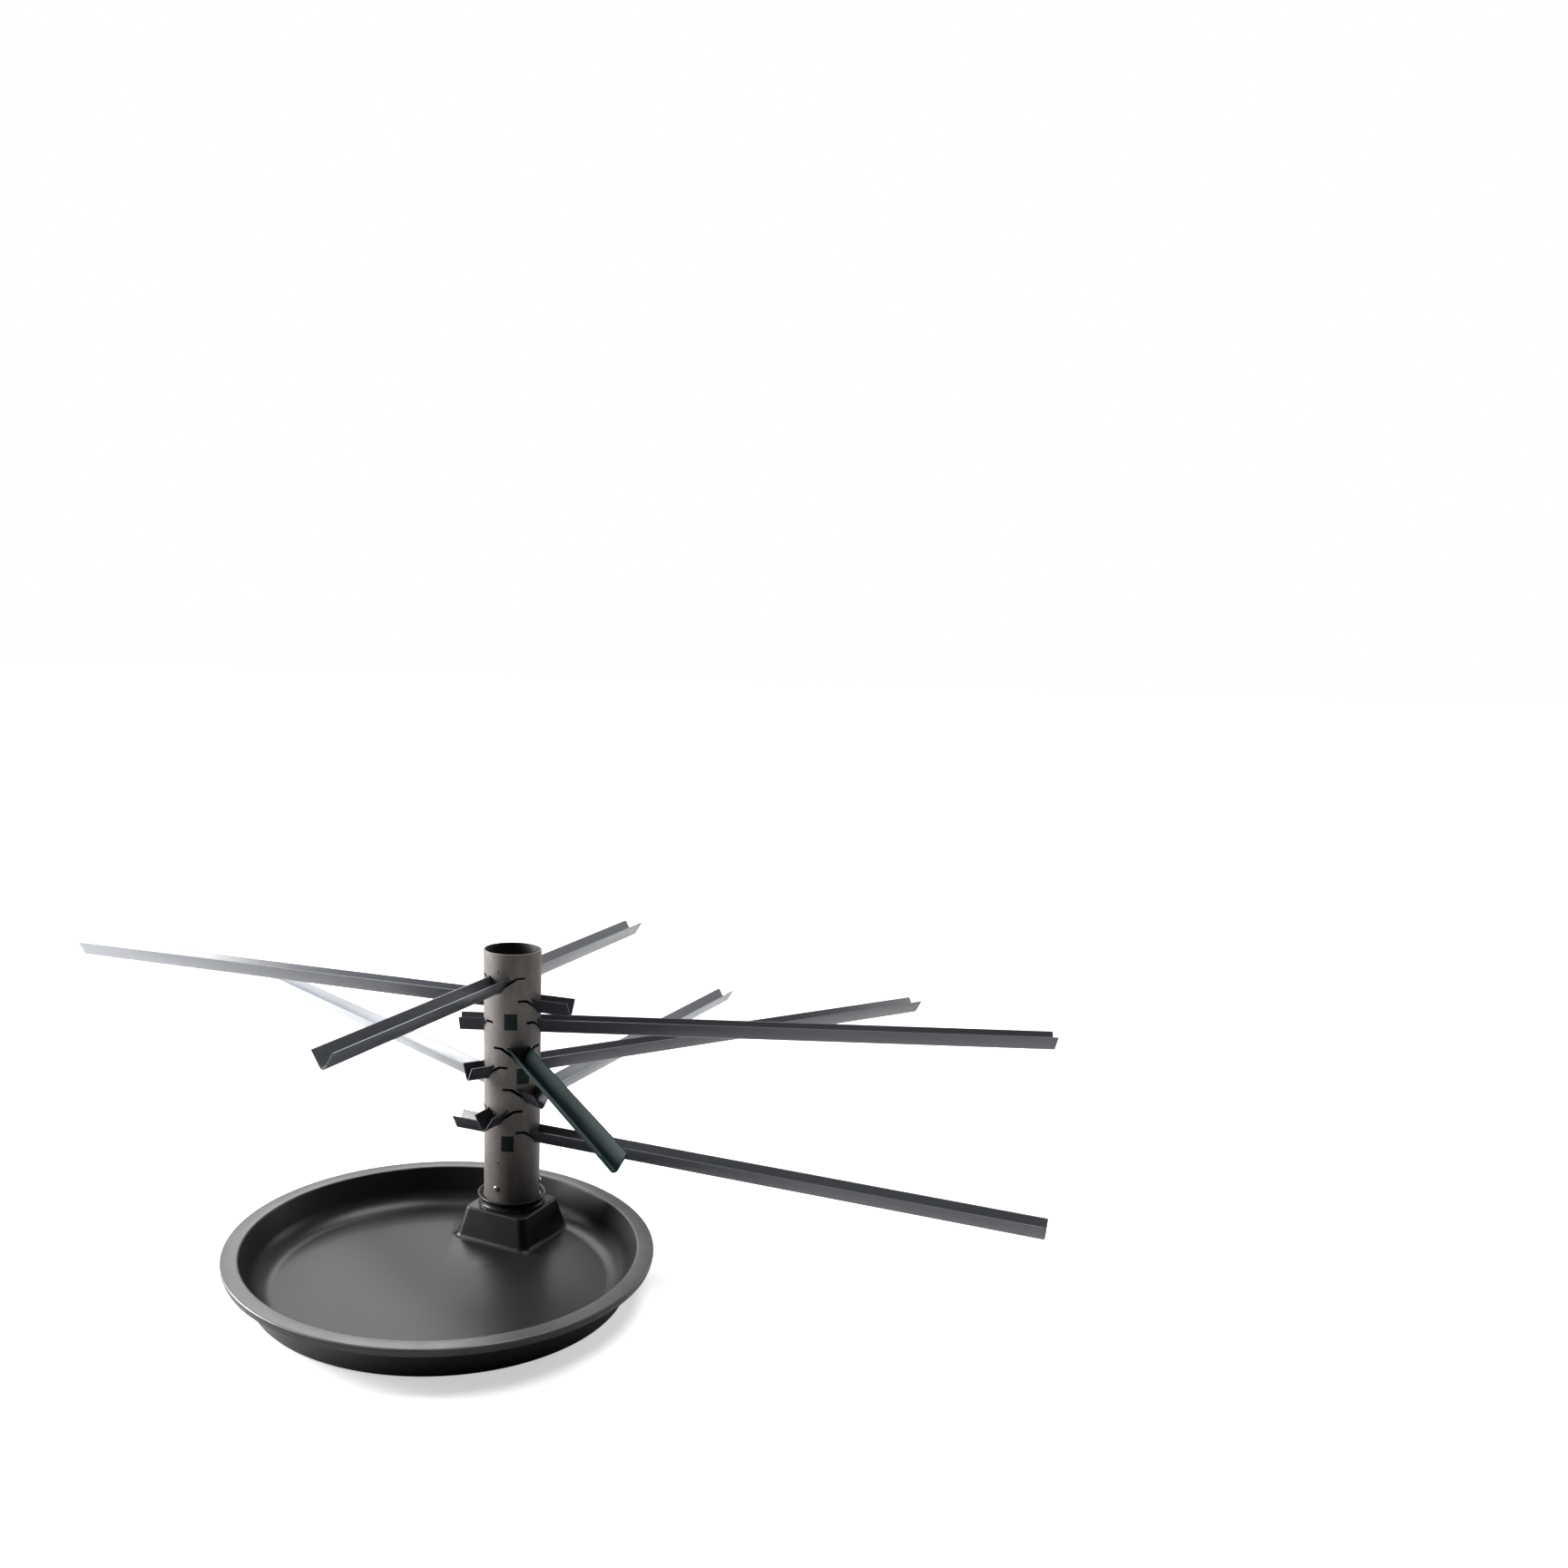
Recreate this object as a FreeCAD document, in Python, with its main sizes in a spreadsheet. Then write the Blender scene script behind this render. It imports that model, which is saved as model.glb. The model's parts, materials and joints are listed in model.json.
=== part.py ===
"""Low free-standing arm stand: eight level V-channel arms slid through slits in a round
mast, which turns on a socket in the off-centre foot of a shallow round basin.

Millimetres. +Z is up. The origin lies on the mast's axis at floor level. The arms are
numbered from the top down, and each one slides along its own axis.
"""
import FreeCAD, Part
import math
import os

import Sketcher
from FreeCAD import Placement, Rotation, Vector

# ----------------------------------------------------------------------------
# Driving dimensions: alias -> value (mm, degrees or counts)
# ----------------------------------------------------------------------------
SIZES = {
    # Basin, in its own frame: centre at the basin's axis, +X towards the mast
    "basin_bearing": 62.6,      # direction from the basin's centre to the mast
    "foot_inset": 71.5,         # mast axis in from the edge of the flat base
    "rim_radius": 267.0,
    "rim_height": 54.0,
    "rim_thick": 3.5,
    "rim_drop": 10.0,           # height of the turned-down band
    "rim_step": 1.5,            # the band steps in by this below its upper half
    "lip_width": 21.3,
    "wall_spread": 33.2,        # the rim stands out from the flat base by this
    "floor_thick": 5.0,
    "wall_thick": 4.8,          # measured level
    "floor_fillet": 16.0,
    "base_fillet": 6.0,
    # Foot moulded into the basin's floor under the mast
    "foot_height": 47.4,
    "foot_margin": 1.0,         # foot's top beyond the socket's flange
    "foot_flare": 11.0,         # foot's base beyond its top
    "foot_wall": 4.4,
    "foot_corner": 11.0,
    "foot_edge": 2.5,
    # Socket bolted on the foot
    "flange_spread": 7.5,       # flange beyond the mast
    "flange_thick": 5.6,
    "spigot_height": 62.0,      # above the flange
    "spigot_wall": 4.4,
    "spigot_floor": 16.0,       # solid end that takes the bolts
    "groove_depth": 1.8,
    "groove_half": 3.2,
    "bolt_circle": 20.0,        # radius of the bolts' circle
    "bolt_radius": 3.0,
    "bolt_clear": 0.3,
    "bolt_bite": 12.0,          # thread length in the socket
    "bolt_head_radius": 5.5,
    "bolt_head_height": 4.0,
    "washer_radius": 7.0,
    "washer_thick": 1.4,
    "plate_inset": 12.0,        # plate's edge in from the edge of the foot's top
    "plate_thick": 4.0,
    "plate_corner": 6.0,
    # Cover that closes the foot from below
    "cover_thick": 2.5,
    "cover_gap": 0.4,
    "cover_post_radius": 5.0,
    "cover_post_inset": 9.0,    # post axis in from the cover's edges
    "cover_screw_radius": 1.7,
    "cover_screw_length": 11.0,
    "cover_head_radius": 3.2,
    "cover_head_height": 1.6,
    # Mast
    "mast_radius": 37.5,
    "mast_wall": 2.0,
    "top_margin": 31.1,         # mast above the highest arm
    "washer_ring_thick": 1.6,
    "washer_ring_spread": 4.5,  # thrust washer beyond the mast
    "ring_gap": 0.15,           # lift of the mast above the thrust washer
    "bush_height": 18.0,
    "bush_wall": 2.0,
    "bush_clear": 0.1,          # bush to spigot
    "collar_height": 7.6,
    "collar_low_spread": 3.5,   # collar beyond the mast, at its foot and at its rim
    "collar_top_spread": 8.5,
    "collar_wall": 2.2,
    "screw_count": 3,
    "screw_bearing": -118.0,
    "screw_rise": 26.0,         # above the flange
    "screw_radius": 1.9,
    "screw_head_radius": 3.6,
    "screw_head_height": 2.2,
    "screw_tip": 1.2,           # reach of the tip into the socket's groove
    "pilot_radius": 1.4,
    "pilot_bearing": -113.5,
    "pilot_below": 24.3,        # under the lowest arm
    "pilot_from_top": 24.0,
    # Marker plugs in the mast's wall
    "marker_width": 17.0,
    "marker_height": 21.6,
    "marker_corner": 1.5,
    "marker_proud": 0.8,
    "marker_clear": 0.15,
    "marker_depth": 3.4,
    "marker1_bearing": -88.4,
    "marker1_above": 22.2,      # above the bottom of arm_3
    "marker2_bearing": -62.5,
    "marker3_bearing": -94.2,
    "marker3_above": 4.4,       # above the bottom of arm_8
    # Arms: rounded V-channels, and the slits that they slide through
    "arm_length": 778.0,
    "short_arm_length": 487.0,
    "short_arm_drop": 4.0,      # the short arm lies this far under its even level
    "arm_depth": 20.5,
    "arm_flank": 30.5,          # each flank's lean from upright
    "arm_bend": 5.0,            # outer radius of the rounded bottom
    "arm_wall": 1.8,
    "slit_clear": 0.9,
    "slit_span": 0.787,         # reach of a lip's tip over the mast's radius
    "lip_foot": 10.5,           # height at which a lip leaves the flank
    "lip_rise": 37.0,           # slope of a lip from level
    "lip_drop": 0.8,            # level end of a lip under the arm's upper edges
    "tip_round": 1.1,           # radius of a lip's rounded tip over half the slit's width
    "first_rise": 85.05,        # bottom of the lowest arm above the mast's foot
    "level_pitch": 29.8,
}

# Arms from the top down: bearing of the long side, and the short side's reach past the axis
ARMS = (
    ("arm_1", 245.9, 379.0, "arm_length"),
    ("arm_2", 160.1, 83.0, "arm_length"),
    ("arm_3", -1.2, 69.0, "arm_length"),
    ("arm_4", -70.0, 68.0, "short_arm_length"),
    ("arm_5", 31.6, 65.0, "arm_length"),
    ("arm_6", 130.3, 67.0, "arm_length"),
    ("arm_7", 62.9, 68.0, "arm_length"),
    ("arm_8", -23.5, 84.0, "arm_length"),
)
MARKERS = (("upper_marker", 1), ("middle_marker", 2), ("lower_marker", 3))

doc = FreeCAD.newDocument("ArmStand")
sheet = doc.addObject("Spreadsheet::Sheet", "Sizes")


def fill_sheet():
    """Write every driving dimension, and each arm's own two, as plain numbers with aliases."""
    rows = dict(SIZES)
    for name, bearing, stub, _ in ARMS:
        rows[name + "_bearing"] = bearing
        rows[name + "_stub"] = stub
    for row, (alias, value) in enumerate(rows.items(), start=1):
        sheet.set("A%d" % row, alias)
        sheet.set("B%d" % row, str(value))
        sheet.setAlias("B%d" % row, alias)
    doc.recompute()


def cell(alias):
    """The sheet's reference to a size, for use inside an expression."""
    return "Sizes." + alias


def ref(text):
    """Put the sheet's name before each alias in a short formula such as 'rim_radius - lip_width'."""
    words = sorted(sheet_aliases(), key=len, reverse=True)
    out, i = "", 0
    while i < len(text):
        if text[i].isalpha():
            j = i
            while j < len(text) and (text[j].isalnum() or text[j] == "_"):
                j += 1
            word = text[i:j]
            out += cell(word) if word in words else word
            i = j
        else:
            out += text[i]
            i += 1
    return out


def sheet_aliases():
    """Every alias that the sheet holds."""
    names = list(SIZES)
    for name, _, _, _ in ARMS:
        names += [name + "_bearing", name + "_stub"]
    return names


def value(text):
    """The present value of a formula, as a plain number."""
    result = sheet.evalExpression(ref(text))
    return float(getattr(result, "Value", result))


def bind(obj, prop, text):
    """Bind a property to a formula in the sheet's aliases."""
    obj.setExpression(prop, ref(text))


# ----------------------------------------------------------------------------
# Bodies, sketches and features
# ----------------------------------------------------------------------------
def new_body(label):
    """A PartDesign body whose label is the node's name."""
    body = doc.addObject("PartDesign::Body", label)
    body.Label = label
    return body


def plane(body, role):
    """One of a body's own origin planes, such as XY_Plane."""
    return next(f for f in body.Origin.OriginFeatures if f.Role == role)


def new_sketch(body, name, role="XY_Plane", offset="0", turn="0", shift="0"):
    """A sketch on an origin plane: moved along its normal by offset, raised in the
    plane's own vertical by shift, and turned about that vertical by turn degrees."""
    sketch = body.newObject("Sketcher::SketchObject", name)
    sketch.AttachmentSupport = (plane(body, role), [""])
    sketch.MapMode = "FlatFace"
    sketch.AttachmentOffset = Placement(Vector(0, 0, 0), Rotation(Vector(0, 1, 0), 1))
    bind(sketch, "AttachmentOffset.Base.y", shift)
    bind(sketch, "AttachmentOffset.Base.z", offset)
    bind(sketch, "AttachmentOffset.Rotation.Angle", turn)
    return sketch


def arc_through(start, end, radius, clockwise):
    """The minor arc of a given radius from start to end, as centre and two angles."""
    mid = (start + end) * 0.5
    chord = end - start
    rise = math.sqrt(max(radius ** 2 - (chord.Length / 2) ** 2, 0.0))
    normal = Vector(-chord.y, chord.x, 0).normalize()
    centre = mid + normal * (-rise if clockwise else rise)
    first, last = (end, start) if clockwise else (start, end)
    angles = [math.atan2(p.y - centre.y, p.x - centre.x) for p in (first, last)]
    if angles[1] < angles[0]:
        angles[1] += 2 * math.pi
    return centre, angles


def outline(sketch, points):
    """Draw a closed outline. Each point is (x formula, y formula, edge), where edge says how
    the outline goes on to the next point: None for a straight line, or (radius formula, turn)
    for an arc with turn 'left' or 'right'. Every point and radius is bound to the sheet."""
    spots = [Vector(value(x), value(y), 0) for x, y, _ in points]
    edges = []
    for i, (_, _, edge) in enumerate(points):
        start, end = spots[i], spots[(i + 1) % len(spots)]
        if edge is None:
            index = sketch.addGeometry(Part.LineSegment(start, end), False)
            edges.append((index, 1, 2))
            continue
        clockwise = edge[1] == "right"
        centre, angles = arc_through(start, end, value(edge[0]), clockwise)
        circle = Part.Circle(centre, Vector(0, 0, 1), value(edge[0]))
        index = sketch.addGeometry(Part.ArcOfCircle(circle, angles[0], angles[1]), False)
        edges.append((index, 2, 1) if clockwise else (index, 1, 2))
        at = sketch.addConstraint(Sketcher.Constraint("Radius", index, value(edge[0])))
        bind(sketch, "Constraints[%d]" % at, edge[0])
    for i, (x, y, _) in enumerate(points):
        here, before = edges[i], edges[i - 1]
        sketch.addConstraint(Sketcher.Constraint("Coincident", before[0], before[2], here[0], here[1]))
        for kind, text in (("DistanceX", x), ("DistanceY", y)):
            at = sketch.addConstraint(
                Sketcher.Constraint(kind, -1, 1, here[0], here[1], value(text)))
            bind(sketch, "Constraints[%d]" % at, text)


def circle(sketch, x, y, radius):
    """Draw one circle, with its centre and radius bound to the sheet."""
    spot = Vector(value(x), value(y), 0)
    index = sketch.addGeometry(Part.Circle(spot, Vector(0, 0, 1), value(radius)), False)
    at = sketch.addConstraint(Sketcher.Constraint("Radius", index, value(radius)))
    bind(sketch, "Constraints[%d]" % at, radius)
    for kind, text in (("DistanceX", x), ("DistanceY", y)):
        at = sketch.addConstraint(Sketcher.Constraint(kind, -1, 1, index, 3, value(text)))
        bind(sketch, "Constraints[%d]" % at, text)


def rounded_box(half_x, half_y, radius):
    """Outline points of a rectangle with rounded corners, centred on the sketch's origin."""
    inner_x = "(%s) - (%s)" % (half_x, radius)
    inner_y = "(%s) - (%s)" % (half_y, radius)
    turn = (radius, "left")
    return [
        (inner_x, "-(%s)" % half_y, turn), (half_x, "-(%s)" % inner_y, None),
        (half_x, inner_y, turn), (inner_x, half_y, None),
        ("-(%s)" % inner_x, half_y, turn), ("-(%s)" % half_x, inner_y, None),
        ("-(%s)" % half_x, "-(%s)" % inner_y, turn), ("-(%s)" % inner_x, "-(%s)" % half_y, None),
    ]


def revolve(body, name, points):
    """Turn a closed outline, drawn in the XZ plane, about the body's Z axis."""
    sketch = new_sketch(body, name + "_profile", "XZ_Plane")
    outline(sketch, points)
    feature = body.newObject("PartDesign::Revolution", name)
    feature.Profile = sketch
    feature.ReferenceAxis = (sketch, ["V_Axis"])
    feature.Angle = 360
    body.Tip = feature
    return feature


def pad(body, name, sketch, length, reverse=False):
    """Raise a sketch by a length given as a formula."""
    feature = body.newObject("PartDesign::Pad", name)
    feature.Profile = sketch
    bind(feature, "Length", length)
    feature.Reversed = reverse
    body.Tip = feature
    return feature


def pocket(body, name, sketch, length, both=False, reverse=False):
    """Cut a sketch's shape out of the body. The cut must remove material."""
    before = body.Shape.Volume
    feature = body.newObject("PartDesign::Pocket", name)
    feature.Profile = sketch
    bind(feature, "Length", length)
    feature.Midplane = both
    feature.Reversed = reverse
    body.Tip = feature
    doc.recompute()
    if not body.Shape.Volume < before - 1e-3:
        raise RuntimeError(name + " cuts nothing")
    return feature


def place(body, x="0", y="0", z="0", turn="0"):
    """Place a body: a turn about Z in degrees, then a shift."""
    body.Placement = Placement(Vector(0, 0, 0), Rotation(Vector(0, 0, 1), 1))
    for axis, text in zip("xyz", (x, y, z)):
        bind(body, "Placement.Base." + axis, text)
    bind(body, "Placement.Rotation.Angle", turn)


# ----------------------------------------------------------------------------
# Derived levels and places, as formulas
# ----------------------------------------------------------------------------
BASE_RADIUS = "(rim_radius - wall_spread)"
BASIN_OFFSET = "(%s - foot_inset)" % BASE_RADIUS
FOOT_TOP = "foot_height"
FOOT_CEILING = "(foot_height - foot_wall)"
FLANGE_TOP = "(foot_height + flange_thick)"
FLANGE_RADIUS = "(mast_radius + flange_spread)"
FOOT_HALF_TOP = "(%s + foot_margin)" % FLANGE_RADIUS
FOOT_HALF_LOW = "(%s + foot_flare)" % FOOT_HALF_TOP
RING_TOP = "(%s + washer_ring_thick)" % FLANGE_TOP
MAST_FOOT = "(%s + ring_gap)" % RING_TOP
MAST_BORE = "(mast_radius - mast_wall)"
BUSH_BORE = "(%s - bush_wall)" % MAST_BORE
SPIGOT_RADIUS = "(%s - bush_clear)" % BUSH_BORE
SPIGOT_TOP = "(%s + spigot_height)" % FLANGE_TOP
SCREW_LEVEL = "(%s + screw_rise)" % FLANGE_TOP
PLATE_LOW = "(%s - plate_thick)" % FOOT_CEILING
PLATE_HALF = "(%s - plate_inset)" % FOOT_HALF_TOP
FOOT_TAPER = "(foot_flare / (foot_height - floor_thick / 2))"
COVER_HALF = "(%s - foot_wall - cover_gap - cover_thick * %s)" % (FOOT_HALF_LOW, FOOT_TAPER)
POST_AT = "(%s - cover_post_inset)" % COVER_HALF
FLANK = "(arm_flank * 1deg)"
LIP = "(lip_rise * 1deg)"


def at_basin(body):
    """Place a body in the basin's frame: at the basin's axis, +X towards the mast."""
    place(body, x="-%s * cos(basin_bearing * 1deg)" % BASIN_OFFSET,
          y="-%s * sin(basin_bearing * 1deg)" % BASIN_OFFSET, turn="basin_bearing")


def at_foot(body):
    """Place a body on the mast's axis, square to the foot."""
    place(body, turn="basin_bearing")


def level_of(name):
    """Height of an arm's rounded bottom. The arms stand one pitch apart, but for the short one."""
    steps = len(ARMS) - int(name[-1])
    level = "%s + first_rise + level_pitch * %d" % (MAST_FOOT, steps)
    short = dict((arm[0], arm[3]) for arm in ARMS)[name] == "short_arm_length"
    return "(%s - short_arm_drop)" % level if short else "(%s)" % level


MAST_TOP = "(%s + arm_depth + top_margin)" % level_of("arm_1")
MARKER_LEVELS = {
    1: "(%s + marker1_above)" % level_of("arm_3"),
    2: "((%s + arm_depth + %s) / 2)" % (level_of("arm_6"), level_of("arm_4")),
    3: "(%s + marker3_above)" % level_of("arm_8"),
}


# ----------------------------------------------------------------------------
# Basin with its foot
# ----------------------------------------------------------------------------
def make_basin():
    """Round basin: flat floor, sloping wall, level lip with a turned-down stepped band, and a
    hollow tapered foot standing on the floor under the mast."""
    body = new_body("basin")
    lip_inner = "(rim_radius - lip_width)"
    under_lip = "(rim_height - rim_thick)"
    band_low = "(rim_height - rim_drop)"
    band_mid = "(rim_height - rim_drop / 2)"
    floor_inner = "(%s - wall_thick)" % BASE_RADIUS
    wall_top = "(%s + wall_thick)" % lip_inner
    shell = [
        ("0", "0", None),
        (BASE_RADIUS, "0", None),
        (wall_top, under_lip, None),
        ("rim_radius - rim_thick", under_lip, None),
        ("rim_radius - rim_thick", band_low, None),
        ("rim_radius - rim_step", band_low, None),
        ("rim_radius - rim_step", band_mid, None),
        ("rim_radius", band_mid, None),
        ("rim_radius", "rim_height", None),
        (lip_inner, "rim_height", None),
        (floor_inner, "floor_thick", None),
        ("0", "floor_thick", None),
    ]
    revolve(body, "BasinShell", shell)
    doc.recompute()
    round_ring(body, "FloorFillet", "floor_fillet", floor_inner, "floor_thick")
    round_ring(body, "BaseFillet", "base_fillet", BASE_RADIUS, "0")
    round_ring(body, "LipFillet", "rim_thick * 0.8", "rim_radius", "rim_height")
    round_ring(body, "LipInnerFillet", "rim_thick * 0.6", lip_inner, "rim_height")
    foot = additive_foot(body)
    corners = [i for i, e in enumerate(foot.Shape.Edges, start=1) if is_foot_top_edge(e)]
    add_fillet(body, "FootEdge", "foot_edge", corners)
    hollow_foot(body)
    at_basin(body)
    return body


def round_ring(body, name, radius, ring_radius, height):
    """Round the circular edge of a turned body at a radius and height."""
    tip = body.Tip
    found = []
    for index, edge in enumerate(tip.Shape.Edges, start=1):
        if not isinstance(edge.Curve, Part.Circle):
            continue
        at_height = abs(edge.Curve.Center.z - value(height)) < 1e-3
        if at_height and abs(edge.Curve.Radius - value(ring_radius)) < 1e-3:
            found.append(index)
    add_fillet(body, name, radius, found)


def add_fillet(body, name, radius, edges):
    """Round the numbered edges of the body's present tip."""
    if not edges:
        raise RuntimeError(name + " finds no edge")
    tip = body.Tip
    feature = body.newObject("PartDesign::Fillet", name)
    feature.Base = (tip, ["Edge%d" % i for i in edges])
    bind(feature, "Radius", radius)
    body.Tip = feature
    doc.recompute()
    return feature


def foot_sketch(body, name, half, corner, height):
    """A rounded square on the basin's floor plan, centred under the mast."""
    sketch = new_sketch(body, name, "XY_Plane", offset=height)
    bind(sketch, "AttachmentOffset.Base.x", BASIN_OFFSET)
    outline(sketch, rounded_box(half, half, corner))
    return sketch


def additive_foot(body):
    """The foot's outer tapered box, from inside the floor to its top."""
    low = foot_sketch(body, "FootLow", FOOT_HALF_LOW, "foot_corner", "floor_thick / 2")
    top = foot_sketch(body, "FootTop", FOOT_HALF_TOP, "foot_corner * 0.8", "foot_height")
    loft = body.newObject("PartDesign::AdditiveLoft", "Foot")
    loft.Profile = low
    loft.Sections = [top]
    loft.Ruled = True
    body.Tip = loft
    doc.recompute()
    return loft


def is_foot_top_edge(edge):
    """Is this one of the outer edges round the foot's level top?"""
    top = value("foot_height")
    return all(abs(v.Point.z - top) < 1e-3 for v in edge.Vertexes)


def hollow_foot(body):
    """Hollow the foot from below, leaving its wall and four posts for the cover's screws, and
    bore its top for the socket's bolts."""
    low_half = "(%s - foot_wall)" % FOOT_HALF_LOW
    top_half = "(%s - %s * %s)" % (low_half, FOOT_TAPER, FOOT_CEILING)
    low = foot_sketch(body, "HollowLow", low_half, "foot_corner - foot_wall", "0")
    top = foot_sketch(body, "HollowTop", top_half, "foot_corner * 0.8 - foot_wall * 0.8", FOOT_CEILING)
    loft = body.newObject("PartDesign::SubtractiveLoft", "FootHollow")
    loft.Profile = low
    loft.Sections = [top]
    loft.Ruled = True
    body.Tip = loft
    doc.recompute()
    posts = new_sketch(body, "CoverPosts", "XY_Plane", offset="cover_thick")
    for side_x in ("", "-"):
        for side_y in ("", "-"):
            circle(posts, "%s + %s%s" % (BASIN_OFFSET, side_x, POST_AT),
                   "%s%s" % (side_y, POST_AT), "cover_post_radius")
    pad(body, "Posts", posts, "%s - cover_thick + foot_wall / 2" % FOOT_CEILING)
    doc.recompute()
    holes = new_sketch(body, "PostHoles", "XY_Plane", offset="0")
    for side_x in ("", "-"):
        for side_y in ("", "-"):
            circle(holes, "%s + %s%s" % (BASIN_OFFSET, side_x, POST_AT),
                   "%s%s" % (side_y, POST_AT), "cover_screw_radius")
    pocket(body, "PostBores", holes, "cover_thick + cover_screw_length", reverse=True)
    bolts = new_sketch(body, "BoltHoles", "XY_Plane", offset="foot_height + 1")
    for quarter in range(4):
        circle(bolts, "%s + bolt_circle * %d" % (BASIN_OFFSET, (1, 0, -1, 0)[quarter]),
               "bolt_circle * %d" % ((0, 1, 0, -1)[quarter]), "bolt_radius + bolt_clear")
    pocket(body, "BoltBores", bolts, "foot_wall + 2")


# ----------------------------------------------------------------------------
# Socket, its fixings and the foot's cover
# ----------------------------------------------------------------------------
def bolt_places():
    """Sketch places of the four socket bolts, on their circle round the mast's axis."""
    return [("bolt_circle * %d" % x, "bolt_circle * %d" % y)
            for x, y in ((1, 0), (0, 1), (-1, 0), (0, -1))]


def make_socket():
    """Moulded socket: round flange on the foot, spigot inside the mast with a groove for the
    mast's screws, and four blind bores for its bolts."""
    body = new_body("mast_socket")
    top_solid = "(foot_height + spigot_floor)"
    groove_low = "(%s - groove_half)" % SCREW_LEVEL
    groove_high = "(%s + groove_half)" % SCREW_LEVEL
    revolve(body, "Socket", [
        ("0", FOOT_TOP, None),
        (FLANGE_RADIUS, FOOT_TOP, None),
        (FLANGE_RADIUS, "%s - 1" % FLANGE_TOP, None),
        ("%s - 1" % FLANGE_RADIUS, FLANGE_TOP, None),
        (SPIGOT_RADIUS, FLANGE_TOP, None),
        (SPIGOT_RADIUS, groove_low, None),
        ("%s - groove_depth" % SPIGOT_RADIUS, groove_low, None),
        ("%s - groove_depth" % SPIGOT_RADIUS, groove_high, None),
        (SPIGOT_RADIUS, groove_high, None),
        (SPIGOT_RADIUS, "%s - 1.5" % SPIGOT_TOP, None),
        ("%s - 1.5" % SPIGOT_RADIUS, SPIGOT_TOP, None),
        ("%s - spigot_wall" % SPIGOT_RADIUS, SPIGOT_TOP, None),
        ("%s - spigot_wall" % SPIGOT_RADIUS, top_solid, None),
        ("0", top_solid, None),
    ])
    doc.recompute()
    bores = new_sketch(body, "ThreadBores", "XY_Plane", offset=FOOT_TOP)
    for x, y in bolt_places():
        circle(bores, x, y, "bolt_radius")
    pocket(body, "Threads", bores, "bolt_bite + 1", reverse=True)
    at_foot(body)
    return body


def make_socket_bolts():
    """Four hexagon-head bolts, from under the plate up into the socket."""
    body = new_body("socket_bolts")
    seat = "(%s - washer_thick)" % PLATE_LOW
    heads = new_sketch(body, "Heads", "XY_Plane", offset="%s - bolt_head_height" % seat)
    for x, y in bolt_places():
        outline(heads, [("%s + bolt_head_radius * %.6f" % (x, math.cos(math.radians(60 * k))),
                         "%s + bolt_head_radius * %.6f" % (y, math.sin(math.radians(60 * k))), None)
                        for k in range(6)])
    pad(body, "BoltHeads", heads, "bolt_head_height")
    shanks = new_sketch(body, "Shanks", "XY_Plane", offset="%s - bolt_head_height" % seat)
    for x, y in bolt_places():
        circle(shanks, x, y, "bolt_radius")
    pad(body, "BoltShanks", shanks,
        "foot_height + bolt_bite - %s + bolt_head_height" % seat)
    at_foot(body)
    return body


def make_bolt_washers():
    """Four flat washers between the bolt heads and the plate."""
    body = new_body("bolt_washers")
    sketch = new_sketch(body, "Rings", "XY_Plane", offset="%s - washer_thick" % PLATE_LOW)
    for x, y in bolt_places():
        circle(sketch, x, y, "washer_radius")
        circle(sketch, x, y, "bolt_radius + bolt_clear")
    pad(body, "Washers", sketch, "washer_thick")
    at_foot(body)
    return body


def make_plate():
    """Steel backing plate under the foot's top, with four bolt holes."""
    body = new_body("backing_plate")
    sketch = new_sketch(body, "PlateOutline", "XY_Plane", offset=PLATE_LOW)
    outline(sketch, rounded_box(PLATE_HALF, PLATE_HALF, "plate_corner"))
    for x, y in bolt_places():
        circle(sketch, x, y, "bolt_radius + bolt_clear")
    pad(body, "Plate", sketch, "plate_thick")
    at_foot(body)
    return body


def cover_places():
    """Sketch places of the cover's four screws."""
    return [(sx + POST_AT, sy + POST_AT) for sx in ("", "-") for sy in ("", "-")]


def make_cover():
    """Square cover that closes the foot flush with the basin's underside."""
    body = new_body("base_cover")
    sketch = new_sketch(body, "CoverOutline", "XY_Plane")
    outline(sketch, rounded_box(COVER_HALF, COVER_HALF, "foot_corner - foot_wall"))
    for x, y in cover_places():
        circle(sketch, x, y, "cover_screw_radius + cover_gap / 2")
    pad(body, "Cover", sketch, "cover_thick")
    doc.recompute()
    sinks = new_sketch(body, "ScrewSinks", "XY_Plane")
    for x, y in cover_places():
        circle(sinks, x, y, "cover_head_radius + cover_gap / 2")
    pocket(body, "Sinks", sinks, "cover_head_height", reverse=True)
    at_foot(body)
    return body


def make_cover_screws():
    """Four pan-head screws that hold the cover to the posts, sunk flush."""
    body = new_body("cover_screws")
    heads = new_sketch(body, "ScrewHeads", "XY_Plane")
    shanks = new_sketch(body, "ScrewShanks", "XY_Plane")
    for x, y in cover_places():
        circle(heads, x, y, "cover_head_radius")
        circle(shanks, x, y, "cover_screw_radius")
    pad(body, "PanHeads", heads, "cover_head_height")
    pad(body, "PanShanks", shanks, "cover_screw_length + cover_thick - 1")
    at_foot(body)
    return body


# ----------------------------------------------------------------------------
# Mast and what turns with it
# ----------------------------------------------------------------------------
def make_thrust_washer():
    """Low-friction ring on the flange, under the mast and its collar."""
    body = new_body("thrust_washer")
    revolve(body, "ThrustRing", [
        (BUSH_BORE, FLANGE_TOP, None),
        ("mast_radius + washer_ring_spread", FLANGE_TOP, None),
        ("mast_radius + washer_ring_spread", RING_TOP, None),
        (BUSH_BORE, RING_TOP, None),
    ])
    return body


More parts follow.
